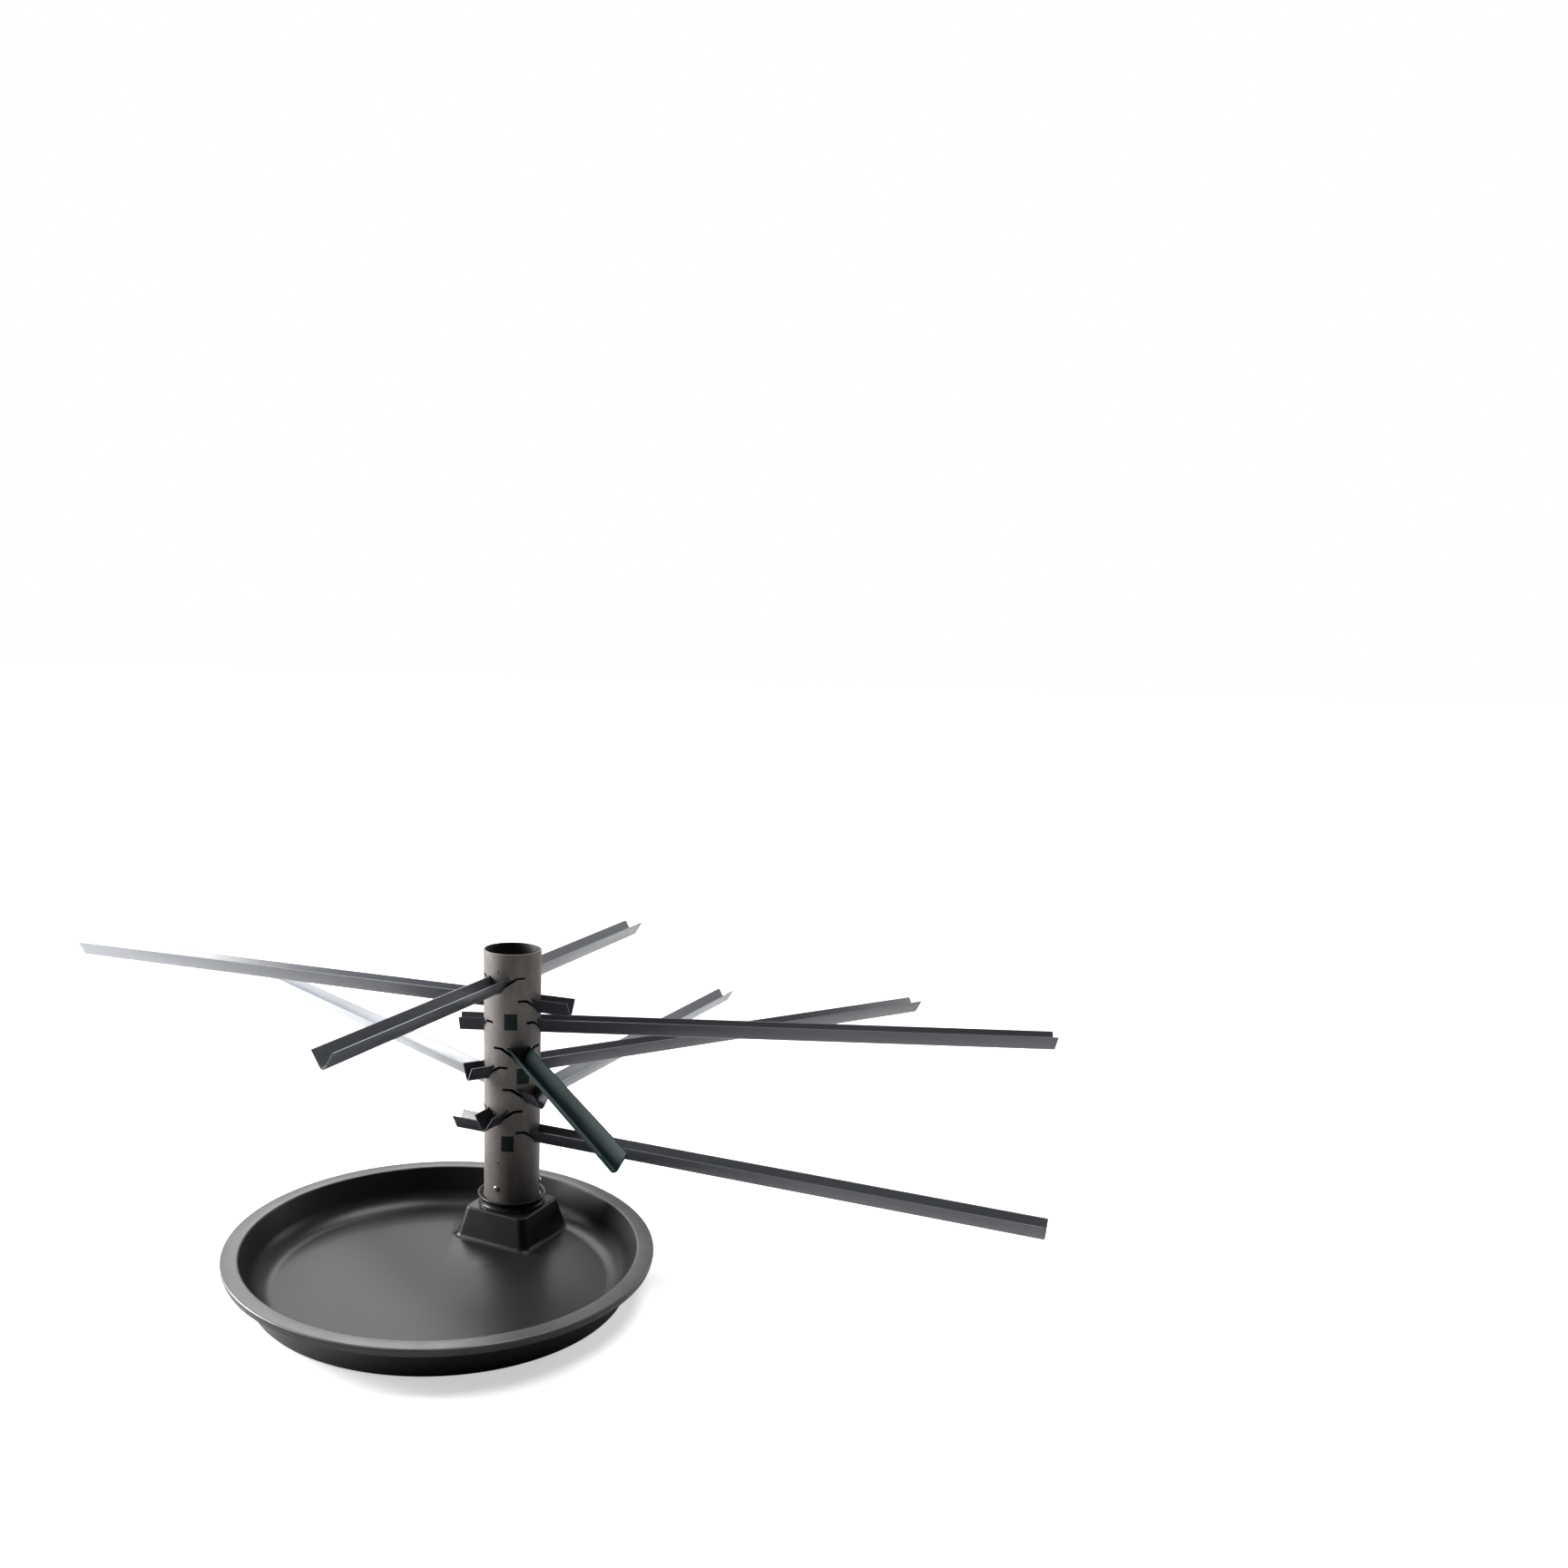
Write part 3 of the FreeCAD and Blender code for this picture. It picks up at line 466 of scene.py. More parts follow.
# Near-black inner wall of the tube: painted shade, not the pipe's own colour.
MAST_BORE_PAINTED_SHADE = Finish(
    "mast_bore_painted_shade", dark=(0.010, 0.010, 0.010), light=(0.016, 0.016, 0.016), rough=(0.50, 0.60),
    mottle=0.03, grain=0.0011, relief=0.00002)
# pale is the colour of the painted sheen laid on the slate arms.
ARM_SLATE = Finish(
    "arm_slate", dark=(0.022, 0.024, 0.030), light=(0.036, 0.039, 0.048), rough=(0.28, 0.40),
    mottle=0.05, grain=0.0010, relief=0.00002, stretch=(6.0, 1.0, 1.0),
    coords=Coords.SURFACE, streaks=0.20, pale=(0.235, 0.248, 0.275))
ARM_GREEN = Finish(
    "arm_green", dark=(0.007, 0.016, 0.017), light=(0.012, 0.028, 0.029), rough=(0.44, 0.54),
    mottle=0.05, grain=0.0010, relief=0.00002, stretch=(6.0, 1.0, 1.0),
    coords=Coords.SURFACE, specular=0.1, streaks=0.25)
MARKER_GREEN = Finish(
    "marker_green", dark=(0.001, 0.007, 0.0065), light=(0.0025, 0.013, 0.012),
    rough=(0.50, 0.62), mottle=0.008, grain=0.0008, relief=0.00004, specular=0.2)
PLATED_STEEL = Finish(
    "plated_steel", dark=(0.50, 0.49, 0.47), light=(0.66, 0.65, 0.62), rough=(0.22, 0.36),
    mottle=0.004, grain=0.0005, relief=0.00001, metallic=1.0)
ACETAL_BLACK = Finish(
    "acetal_black", dark=(0.020, 0.020, 0.021), light=(0.030, 0.030, 0.031), rough=(0.30, 0.40),
    mottle=0.01, grain=0.0006, relief=0.00001)


# Painted sheen on each slate arm: it keeps its dark colour beside the mast and is painted paler
# away from it. Places in metres along its long side, and the share of the pale colour there.
ARM_PAINTED_SHEEN = {
    "arm_1": ((-0.38, 0.55), (-0.07, 0.42), (-0.03, 0.0), (0.06, 0.10), (0.40, 0.25)),
    "arm_2": ((-0.08, 0.0), (0.02, 0.0), (0.10, 0.22), (0.35, 0.34), (0.70, 0.46)),
    "arm_3": ((-0.07, 0.0), (0.05, 0.08), (0.30, 0.17), (0.71, 0.27)),
    "arm_5": ((-0.06, 0.0), (0.03, 0.05), (0.07, 0.26), (0.30, 0.18), (0.71, 0.20)),
    "arm_6": ((-0.07, 0.0), (0.02, 0.0), (0.06, 0.75), (0.71, 1.0)),
    "arm_7": ((-0.07, 0.0), (0.02, 0.0), (0.06, 0.62), (0.40, 0.55), (0.71, 0.45)),
    "arm_8": ((-0.08, 0.0), (0.06, 0.07), (0.30, 0.15), (0.69, 0.27)),
}


# ----------------------------------------------------------------------------
# Registering pieces
# ----------------------------------------------------------------------------
def body_of_node(node: str) -> str:
    """The name of the body that a node belongs to."""
    bodies = frame["record"]["behaviour"]["bodies"]
    return next(body for body, nodes in bodies.items() if node in nodes)


def register(piece: bpy.types.Object, finish: Finish, slot: str, *nodes: str) -> None:
    """Dress a new piece and let it stand for its nodes.

    Args:
        piece: The piece, in place.
        finish: Its surface.
        slot: The record's material slot; not used.
        nodes: The nodes that it stands for. It rides on the first one's body.
    """
    piece.data.materials.clear()
    piece.data.materials.append(finish.material())
    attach(piece, body_of_node(nodes[0]))
    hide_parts(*nodes)
    log.info("%s stands for %s, %d faces", piece.name, ", ".join(nodes), len(piece.data.polygons))


# ----------------------------------------------------------------------------
# Basin
# ----------------------------------------------------------------------------
@dataclass
class Basin:
    """Round moulded basin with a level lip and a tapered square foot.

    The outline's radii and heights come from the node's box. Its other sizes are fields.
    """

    node: str = "basin"
    lip_width: float = 21.3 * MM
    lip_edge: float = 1.6 * MM
    rim_thick: float = 3.5 * MM
    rim_drop: float = 10.0 * MM
    rim_step: float = 1.5 * MM
    base_inset: float = 33.2 * MM
    floor_thick: float = 5.0 * MM
    floor_round: float = 22.0 * MM
    wall_thick: float = 4.8 * MM
    foot_height: float = 47.4 * MM
    foot_low: float = 57.0 * MM
    foot_top: float = 46.0 * MM
    foot_corner: float = 12.0 * MM
    foot_flare: float = 6.0 * MM
    base_round: float = 6.0 * MM
    top_round: float = 2.6 * MM
    band_round: float = 0.8 * MM
    steps: int = 240
    centre: Vector = field(init=False)
    rim_radius: float = field(init=False)
    rim_height: float = field(init=False)

    def __post_init__(self) -> None:
        """Read the basin's place and outer size from its node."""
        low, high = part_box(self.node)
        self.centre = Vector(((low.x + high.x) / 2, (low.y + high.y) / 2, 0.0))
        self.rim_radius = (high.x - low.x) / 2
        self.rim_height = high.z

    def build(self) -> None:
        """Build the basin and dress it."""
        shell = finish_mesh(self.shell(), "basin_shell", Matrix.Translation(self.centre))
        foot = finish_mesh(self.foot(), "foot_block", self.foot_place())
        boolean(shell, foot, "UNION")
        remesh_clean(shell)
        register(shell, replace(BASIN_BLACK, centre=tuple(self.centre)), "basin_black", self.node)
        self.dress_rim(shell)

    def dress_rim(self, shell: bpy.types.Object) -> None:
        """Give the level lip and its outer band their paler colour, which partly stands in for the light on the
        lip's top: painted highlight.
        """
        shell.data.materials.append(replace(BASIN_RIM, centre=tuple(self.centre)).material())
        lip = self.rim_radius - self.lip_width
        for face in shell.data.polygons:
            away = math.hypot(face.center.x - self.centre.x, face.center.y - self.centre.y)
            if away > lip and face.center.z > self.rim_height - self.lip_edge:
                face.material_index = 1

    def shell(self) -> bmesh.types.BMesh:
        """Spin the basin's section and round its edges."""
        rim, top = self.rim_radius, self.rim_height
        lip = rim - self.lip_width
        base = rim - self.base_inset
        under = top - self.rim_thick
        band_low, band_mid = top - self.rim_drop, top - self.rim_drop / 2
        bm = bmesh.new()
        spin_profile(bm, [
            (0.0, 0.0), (base, 0.0), (lip + self.wall_thick, under), (rim - self.rim_thick, under),
            (rim - self.rim_thick, band_low), (rim - self.rim_step, band_low),
            (rim - self.rim_step, band_mid), (rim, band_mid), (rim, top), (lip, top),
            (base - self.wall_thick, self.floor_thick), (0.0, self.floor_thick),
        ], self.steps, closed=False)
        floor_edge = ring_edges(bm, base - self.wall_thick, self.floor_thick)
        bevel(bm, floor_edge, self.floor_round, 12)
        bevel(bm, ring_edges(bm, base, 0.0), self.base_round, 5)
        bevel(bm, ring_edges(bm, rim, top), self.top_round, 5)
        bevel(bm, ring_edges(bm, lip, top), self.top_round, 5)
        bevel(bm, ring_edges(bm, rim, band_mid), self.band_round)
        bevel(bm, ring_edges(bm, rim - self.rim_step, band_mid), self.rim_step / 3, 2)
        bevel(bm, ring_edges(bm, rim - self.rim_step, band_low), self.band_round)
        return bm

    def foot_place(self) -> Matrix:
        """Where the foot stands: under the mast, square to the line from the basin's centre."""
        bearing = math.atan2(-self.centre.y, -self.centre.x)
        return Matrix.Rotation(bearing, 4, "Z")

    def foot(self) -> bmesh.types.BMesh:
        """Stack rounded squares into the tapered foot, flared where it meets the floor."""
        lean = (self.foot_low - self.foot_top) / (self.foot_height - self.floor_thick)
        levels = [(self.floor_thick * 0.4, self.foot_low + self.foot_flare)]
        for step in range(7):
            angle = math.radians(90 * step / 6)
            rise = self.foot_flare * (1 - math.cos(angle))
            out = self.foot_flare * (1 - math.sin(angle))
            levels.append((self.floor_thick + rise - 0.02 * MM, self.foot_low + out - rise * lean))
        levels.append((self.foot_height, self.foot_top))
        bm = bmesh.new()
        rings = [self.square_ring(bm, half, height) for height, half in levels]
        for lower, upper in zip(rings[:-1], rings[1:]):
            bmesh.ops.bridge_loops(bm, edges=lower + upper)
        bmesh.ops.contextual_create(bm, geom=rings[0])
        bmesh.ops.contextual_create(bm, geom=rings[-1])
        bmesh.ops.recalc_face_normals(bm, faces=bm.faces)
        bevel(bm, rings[-1], self.top_round, 4)
        return bm

    def square_ring(self, bm: bmesh.types.BMesh, half: float, height: float) -> list:
        """One rounded square of edges at a height."""
        points = []
        radius = self.foot_corner * half / self.foot_low
        for corner in range(4):
            middle = polar(45 + 90 * corner, (half - radius) * math.sqrt(2), height)
            for step in range(9):
                points.append(middle + polar(90 * corner + 90 * step / 8, radius))
        return [g for g in add_ring(bm, points) if isinstance(g, bmesh.types.BMEdge)]


# ----------------------------------------------------------------------------
# Socket flange and the mast's collar
# ----------------------------------------------------------------------------
@dataclass
class Socket:
    """Moulded socket: the round flange on the foot, and the spigot inside the mast."""

    node: str = "mast_socket"
    flange_thick: float = 5.6 * MM
    spigot_radius: float = 33.4 * MM
    spigot_wall: float = 4.4 * MM
    spigot_floor: float = 16.0 * MM
    groove_depth: float = 1.8 * MM
    groove_half: float = 3.2 * MM
    groove_height: float = 79.0 * MM
    flange_draft: float = 0.8 * MM
    flange_round: float = 1.6 * MM
    spigot_round: float = 1.0 * MM
    steps: int = 160

    def build(self) -> None:
        """Spin the flange and spigot as one moulding and dress it."""
        low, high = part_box(self.node)
        radius = (high.x - low.x) / 2
        foot, flange, top = low.z, low.z + self.flange_thick, high.z
        spigot, bottom = self.spigot_radius, low.z + self.spigot_floor
        groove = spigot - self.groove_depth
        groove_low = self.groove_height - self.groove_half
        groove_high = self.groove_height + self.groove_half
        bore = spigot - self.spigot_wall
        edge = radius - self.flange_draft
        bm = bmesh.new()
        spin_profile(bm, [
            (0.0, foot), (radius, foot), (edge, flange), (spigot, flange),
            (spigot, groove_low), (groove, groove_low), (groove, groove_high),
            (spigot, groove_high), (spigot, top), (bore, top), (bore, bottom), (0.0, bottom),
        ], self.steps, closed=False)
        bevel(bm, ring_edges(bm, edge, flange), self.flange_round, 4)
        bevel(bm, ring_edges(bm, spigot, top), self.spigot_round, 2)
        register(finish_mesh(bm, "socket"), SOCKET_BLACK, "socket_black", self.node)


@dataclass
class Collar:
    """Flared ring round the mast's foot."""

    node: str = "mast_collar"
    wall: float = 2.2 * MM
    low_radius: float = 41.0 * MM
    mast_radius: float = 37.5 * MM
    flare: float = 1.6 * MM
    lip_low: float = 3.0 * MM
    lip_high: float = 1.8 * MM
    throat: float = 0.6 * MM
    edge_round: float = 0.8 * MM
    steps: int = 160

    def build(self) -> None:
        """Spin the flared ring, round its lip and dress it."""
        low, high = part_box(self.node)
        radius = (high.x - low.x) / 2
        inner = radius - self.wall
        bm = bmesh.new()
        spin_profile(bm, [
            (self.mast_radius, low.z), (self.low_radius, low.z),
            (radius - self.flare, high.z - self.lip_low), (radius, high.z - self.lip_high),
            (radius, high.z), (inner, high.z),
            (self.low_radius - self.wall / 2, low.z + self.wall + self.throat),
            (self.mast_radius, low.z + self.wall),
        ], self.steps)
        bevel(bm, ring_edges(bm, radius, high.z), self.edge_round, 4)
        bevel(bm, ring_edges(bm, inner, high.z), self.edge_round, 4)
        bevel(bm, ring_edges(bm, self.low_radius, low.z), self.edge_round)
        register(finish_mesh(bm, "collar"), SOCKET_BLACK, "socket_black", self.node)


# ----------------------------------------------------------------------------
# Arms
# ----------------------------------------------------------------------------
@dataclass(frozen=True)
class ArmSection:
    """The V-channel's section: two flanks that lean outwards from a rounded bottom."""

    depth: float = 20.5 * MM
    lean: float = 30.5
    bend: float = 5.0 * MM
    wall: float = 1.8 * MM
    turns: int = 6

    def side(self, grow: float, top: float, inner: bool) -> list[tuple[float, float]]:
        """One face of the V, from its upper left end to its upper right end.

        Args:
            grow: How far the face is moved outwards, away from the wall.
            top: Height at which the flanks end.
            inner: Whether this is the channel's inner face.

        Returns:
            Points as (across, height) pairs.
        """
        radius = self.bend - self.wall - grow if inner else self.bend + grow
        lean = math.radians(self.lean)
        meet_x = radius * math.cos(lean)
        meet_y = self.bend - radius * math.sin(lean)
        out = meet_x + (top - meet_y) * math.tan(lean)
        sweep = 180 - 2 * self.lean
        arc = []
        for step in range(self.turns + 1):
            angle = math.radians(180 + self.lean + sweep * step / self.turns)
            arc.append((radius * math.cos(angle), self.bend + radius * math.sin(angle)))
        return [(-out, top)] + arc + [(out, top)]

    def outline(self) -> list[tuple[float, float]]:
        """The whole section as one closed outline."""
        return self.side(0.0, self.depth, False) + self.side(0.0, self.depth, True)[::-1]


@dataclass
class Arm:
    """One V-channel arm, which slides along its own axis through the mast."""

    node: str
    finish: Finish
    slot: str
    section: ArmSection = ArmSection()
    edge_round: float = 0.35 * MM
    sharp_turn: float = 40.0

    def axis(self) -> Vector:
        """The arm's direction, from its slide joint."""
        joint = next(j for j in frame["joints"] if j["child"] == self.node)
        return Vector(joint["axis"]).normalized()

    def reach(self) -> tuple[float, float]:
        """How far the arm reaches behind and ahead of the mast's axis."""
        axis = self.axis()
        along = [v.co.dot(axis) for v in frame["nodes"][self.node].data.vertices]
        return min(along), max(along)

    def level(self) -> float:
        """Height of the arm's rounded bottom."""
        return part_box(self.node)[0].z

    def place(self) -> Matrix:
        """The matrix from the arm's own frame, +X along it, to the row's frame."""
        turn = Matrix.Rotation(math.atan2(self.axis().y, self.axis().x), 4, "Z")
        return Matrix.Translation((0.0, 0.0, self.level())) @ turn

    def build(self) -> None:
        """Extrude the section along the arm, soften its edges, lay out its UV map, dress it."""
        start, end = self.reach()
        bm = bmesh.new()
        outline = [(start, x, z) for x, z in self.section.outline()]
        add_prism(bm, outline, (end - start, 0.0, 0.0))
        bmesh.ops.recalc_face_normals(bm, faces=bm.faces)
        bevel(bm, [e for e in bm.edges if self.is_corner(e)], self.edge_round, 2)
        self.lay_out(bm)
        piece = finish_mesh(bm, self.node + "_channel", self.place(), self.sharp_turn)
        register(piece, self.finish, self.slot, self.node)

    def is_corner(self, edge: bmesh.types.BMEdge) -> bool:
        """Does the arm turn sharply at this edge, at its cut ends or its flanks' tops?"""
        turn = edge.calc_face_angle(0.0)
        return len(edge.link_faces) == 2 and turn > math.radians(self.sharp_turn)

    def lay_out(self, bm: bmesh.types.BMesh) -> None:
        """Give the arm a UV map in metres: along it, and round its section."""
        layer = bm.loops.layers.uv.new("UVMap")
        for loop in (loop for f in bm.faces for loop in f.loops):
            x, y, z = loop.vert.co
            side = z / math.cos(math.radians(self.section.lean))
            loop[layer].uv = (x, math.copysign(side, y) if abs(y) > MM / 10 else 0.0)


# ----------------------------------------------------------------------------
# Mast
# ----------------------------------------------------------------------------
@dataclass
class Mast:
    """Slotted round tube with its windows and pilot holes."""

    arms: list[Arm]
    node: str = "mast_tube"
    wall: float = 2.0 * MM
    slit_clear: float = 0.9 * MM
    slit_span: float = 0.787
    lip_foot: float = 10.5 * MM
    lip_rise: float = 37.0
    lip_drop: float = 0.8 * MM
    tip_bulge: float = 0.64
    pilot_radius: float = 1.4 * MM
    pilot_bearing: float = -113.5
    pilot_heights: tuple[float, float] = (115.5 * MM, 376.0 * MM)
    window_clear: float = 0.3 * MM
    edge_round: float = 0.5 * MM
    steps: int = 256

    def build(self) -> None:
        """Spin the tube, cut it and dress it."""
        low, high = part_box(self.node)
        radius = (high.x - low.x) / 2
        bm = bmesh.new()
        bore = radius - self.wall
        spin_profile(bm, [(bore, low.z), (radius, low.z), (radius, high.z), (bore, high.z)],
                     self.steps)
        bevel(bm, ring_edges(bm, radius, high.z), self.edge_round)
        bevel(bm, ring_edges(bm, bore, high.z), self.edge_round)
        tube = finish_mesh(bm, "mast")
        boolean(tube, self.cutters(radius), "DIFFERENCE")
        remesh_clean(tube)
        register(tube, MAST_GREY, "mast_grey", self.node)
        self.paint_bore_shade(tube, bore)

    def paint_bore_shade(self, tube: bpy.types.Object, bore: float) -> None:
        """Paint the tube's inner wall near-black: painted shade inside the tube."""
        tube.data.materials.append(MAST_BORE_PAINTED_SHADE.material())
        for face in tube.data.polygons:
            middle = face.center
            if math.hypot(middle.x, middle.y) < bore + MM / 10:
                face.material_index = 1

    def cutters(self, radius: float) -> bpy.types.Object:
        """Every slit, window and pilot hole as one cutting shape."""
        bm = bmesh.new()
        for arm in self.arms:
            self.add_slit(bm, arm, radius)
        for marker in MARKER_NODES:
            self.add_window(bm, marker, radius)
        for height in self.pilot_heights:
            self.add_pilot(bm, height, radius)
        bmesh.ops.recalc_face_normals(bm, faces=bm.faces)
        return finish_mesh(bm, "mast_cutter")

    def add_slit(self, bm: bmesh.types.BMesh, arm: Arm, radius: float) -> None:
        """Add the prism that cuts an arm's two slits: its V and the lips on either side."""
        reach = radius * 1.3
        outline = self.slit_outline(arm.section, radius * self.slit_span)
        verts = add_prism(bm, [(-reach, x, z) for x, z in outline], (2 * reach, 0.0, 0.0))
        bmesh.ops.transform(bm, matrix=arm.place(), verts=verts)

    def slit_outline(self, section: ArmSection, span: float) -> list[tuple[float, float]]:
        """The slit as a closed outline: the grown V, and a lip on each side.

        Args:
            section: The arm's section.
            span: How far out the lips' tips lie.

        Returns:
            Points as (across, height) pairs.
        """
        half = section.wall / 2 + self.slit_clear
        top = section.depth + self.slit_clear
        under = section.side(self.slit_clear, top, False)[1:-1]
        over = section.side(self.slit_clear, top, True)
        right = self.lip(section, half, span)
        left = [(-x, z) for x, z in reversed(right)]
        return under + right + over[::-1] + left

    def lip(self, section: ArmSection, half: float, span: float) -> list[tuple[float, float]]:
        """The right-hand lip, which climbs outwards from the flank and ends level.

        Args:
            section: The arm's section.
            half: Half the slit's width.
            span: How far out the tip lies.

        Returns:
            Points from the lip's lower side, round its tip, to the top of the flank.
        """
        rise, lean = math.radians(self.lip_rise), math.radians(section.lean)
        fork = half * (math.tan(rise + lean) * math.sin(rise) + math.cos(rise))
        tip = section.depth - self.lip_drop
        low, high = self.lip_foot - fork, self.lip_foot + fork
        bend_low = self.flank(section, low) + (tip - half - low) / math.tan(rise)
        bend_high = self.flank(section, high) + (tip + half - high) / math.tan(rise)
        points = [(self.flank(section, low), low), (bend_low, tip - half)]
        for step in range(7):
            angle = math.radians(-90 + 180 * step / 6)
            out = half * self.tip_bulge * math.cos(angle)
            points.append((span + out, tip + half * math.sin(angle)))
        top = section.depth + self.slit_clear
        points += [(bend_high, tip + half), (self.flank(section, high), high),
                   (self.flank(section, top), top)]
        return points

    def flank(self, section: ArmSection, height: float) -> float:
        """Half the slit's width at a height, on the outside of the grown V."""
        return section.side(self.slit_clear, height, False)[-1][0]

    def add_window(self, bm: bmesh.types.BMesh, marker: str, radius: float) -> None:
        """Add the block that cuts a marker plug's square window."""
        low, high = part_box(marker)
        middle = (low + high) / 2
        turn = Matrix.Rotation(Markers.bearing(marker), 4, "Z")
        wide, tall = Markers.width + self.window_clear, high.z - low.z + self.window_clear
        size = Matrix.Diagonal((radius, wide, tall, 1.0))
        shift = Matrix.Translation((radius, 0.0, middle.z))
        bmesh.ops.create_cube(bm, size=1.0, matrix=turn @ shift @ size)

    def add_pilot(self, bm: bmesh.types.BMesh, height: float, radius: float) -> None:
        """Add the rod that drills one pilot hole."""
        turn = Matrix.Rotation(math.radians(self.pilot_bearing), 4, "Z")
        lay = Matrix.Rotation(math.radians(90), 4, "Y")
        shift = Matrix.Translation((radius, 0.0, height))
        bmesh.ops.create_cone(bm, cap_ends=True, segments=20, radius1=self.pilot_radius,
                              radius2=self.pilot_radius, depth=radius, matrix=turn @ shift @ lay)


@dataclass
class Markers:
    """Blank square plugs in the mast's windows."""

    width: float = 16.7 * MM
    depth: float = 3.4 * MM
    corner: float = 1.5 * MM
    edge_round: float = 0.5 * MM
    proud: float = 0.8 * MM

    @staticmethod
    def bearing(node: str) -> float:
        """The direction that a plug faces, in radians."""
        low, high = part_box(node)
        middle = (low + high) / 2
        return math.atan2(middle.y, middle.x)

    def build(self, radius: float) -> None:
        """Build each plug: a soft-edged block with its face curved like the mast."""
        for node in MARKER_NODES:
            self.build_one(node, radius)

    def build_one(self, node: str, radius: float) -> None:
        """Build one plug.

        Args:
            node: The node that it stands for.
            radius: The mast's outer radius.
        """
        low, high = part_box(node)
        tall = high.z - low.z
        bm = bmesh.new()
        bmesh.ops.create_grid(bm, x_segments=14, y_segments=10, size=0.5)
        flat = Matrix.Diagonal((self.width, tall, 1.0, 1.0))
        bmesh.ops.transform(bm, matrix=flat, verts=bm.verts)
        extrude(bm, bm.faces[:], (0.0, 0.0, self.depth))
        upright = [e for e in bm.edges if abs(e.verts[0].co.z - e.verts[1].co.z) > MM
                   and all(abs(abs(v.co.x) - self.width / 2) < MM / 10 for v in e.verts)
                   and all(abs(abs(v.co.y) - tall / 2) < MM / 10 for v in e.verts)]
        bevel(bm, upright, self.corner, 4)
        bmesh.ops.recalc_face_normals(bm, faces=bm.faces)
        rim = [e for e in bm.edges if e.calc_face_angle(0.0) > math.radians(50)
               and all(v.co.z > self.depth / 2 for v in e.verts)]
        bevel(bm, rim, self.edge_round)
        face = radius + self.proud
        for vert in bm.verts:
            across, rise, out = vert.co
            sag = face - math.sqrt(face * face - across * across)
            vert.co = (face - self.depth + out - sag, across, rise)
        middle = Matrix.Translation((0.0, 0.0, (low.z + high.z) / 2))
        place = middle @ Matrix.Rotation(self.bearing(node), 4, "Z")
        piece = finish_mesh(bm, node + "_plug", place)
        register(piece, MARKER_GREEN, "marker_green", node)


@dataclass
class MastScrews:
    """Domed cross-recess screws through the mast's foot."""

    node: str = "mast_screws"
    count: int = 3
    bearing: float = -118.0
    head_radius: float = 3.6 * MM
    head_height: float = 2.2 * MM
    shank_radius: float = 1.9 * MM
    shank_length: float = 6.0 * MM
    head_edge: float = 0.5 * MM
    cross_reach: float = 2.0 * MM
    cross_width: float = 0.8 * MM
    cross_depth: float = 0.8 * MM

    def build(self, radius: float) -> None:
        """Spin one screw, cut its cross, repeat it round the mast and dress the group."""
        low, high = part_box(self.node)
        height = (low.z + high.z) / 2
        heads = bmesh.new()
        crosses = bmesh.new()
        for turn in range(self.count):
            around = Matrix.Rotation(math.radians(self.bearing + 360 * turn / self.count), 4, "Z")
            lay = Matrix.Rotation(math.radians(90), 4, "Y")
            place = around @ Matrix.Translation((radius, 0.0, height)) @ lay
            self.add_screw(heads, place)
            self.add_cross(crosses, place)
        bmesh.ops.recalc_face_normals(crosses, faces=crosses.faces)
        piece = finish_mesh(heads, "mast_fixings")
        boolean(piece, finish_mesh(crosses, "cross_cutter"), "DIFFERENCE")
        remesh_clean(piece)
        register(piece, PLATED_STEEL, "plated_steel", self.node)

    def add_screw(self, bm: bmesh.types.BMesh, place: Matrix) -> None:
        """Add one screw: a domed head and a plain shank."""
        crown = self.head_height - self.head_edge
        dome = [(self.head_radius * math.cos(math.radians(a)),
                 self.head_edge + crown * math.sin(math.radians(a)))
                for a in range(0, 90, 15)]
        profile = ([(0.0, -self.shank_length), (self.shank_radius, -self.shank_length),
                    (self.shank_radius, 0.0), (self.head_radius, 0.0)]
                   + dome + [(0.0, self.head_height)])
        one = bmesh.new()
        spin_profile(one, profile, 32, closed=False)
        bmesh.ops.transform(one, matrix=place, verts=one.verts)
        mesh = bpy.data.meshes.new("screw")
        one.to_mesh(mesh)
        one.free()
        bm.from_mesh(mesh)
        bpy.data.meshes.remove(mesh)

    def add_cross(self, bm: bmesh.types.BMesh, place: Matrix) -> None:
        """Add the plus-shaped prism that cuts one screw's recess."""
        reach, half = self.cross_reach, self.cross_width / 2
        quarter = (Vector((reach, -half)), Vector((reach, half)), Vector((half, half)))
        low = self.head_height - self.cross_depth
        outline = []
        for turn in range(4):
            spin = Matrix.Rotation(math.radians(90 * turn), 2)
            outline += [(*(spin @ corner), low) for corner in quarter]
        verts = add_prism(bm, outline, (0.0, 0.0, 2 * self.cross_depth))
        bmesh.ops.transform(bm, matrix=place, verts=verts)


# ----------------------------------------------------------------------------
# Pieces that keep their own mesh
# ----------------------------------------------------------------------------
@dataclass
class HiddenFittings:
    """What sits inside the foot and the mast, and the cover underneath."""

    finishes: dict[str, Finish] = field(default_factory=lambda: {
        "socket_bolts": PLATED_STEEL, "bolt_washers": PLATED_STEEL,
        "backing_plate": PLATED_STEEL, "cover_screws": PLATED_STEEL,
        "base_cover": SOCKET_BLACK, "thrust_washer": ACETAL_BLACK, "swivel_bush": ACETAL_BLACK,
    })

    def dress(self) -> None:
        """Give each node its finish."""
        for node, finish in self.finishes.items():
            mesh = frame["nodes"][node].data
            mesh.materials.clear()
            mesh.materials.append(finish.material())
            log.info("%s keeps its mesh in %s", node, finish.name)


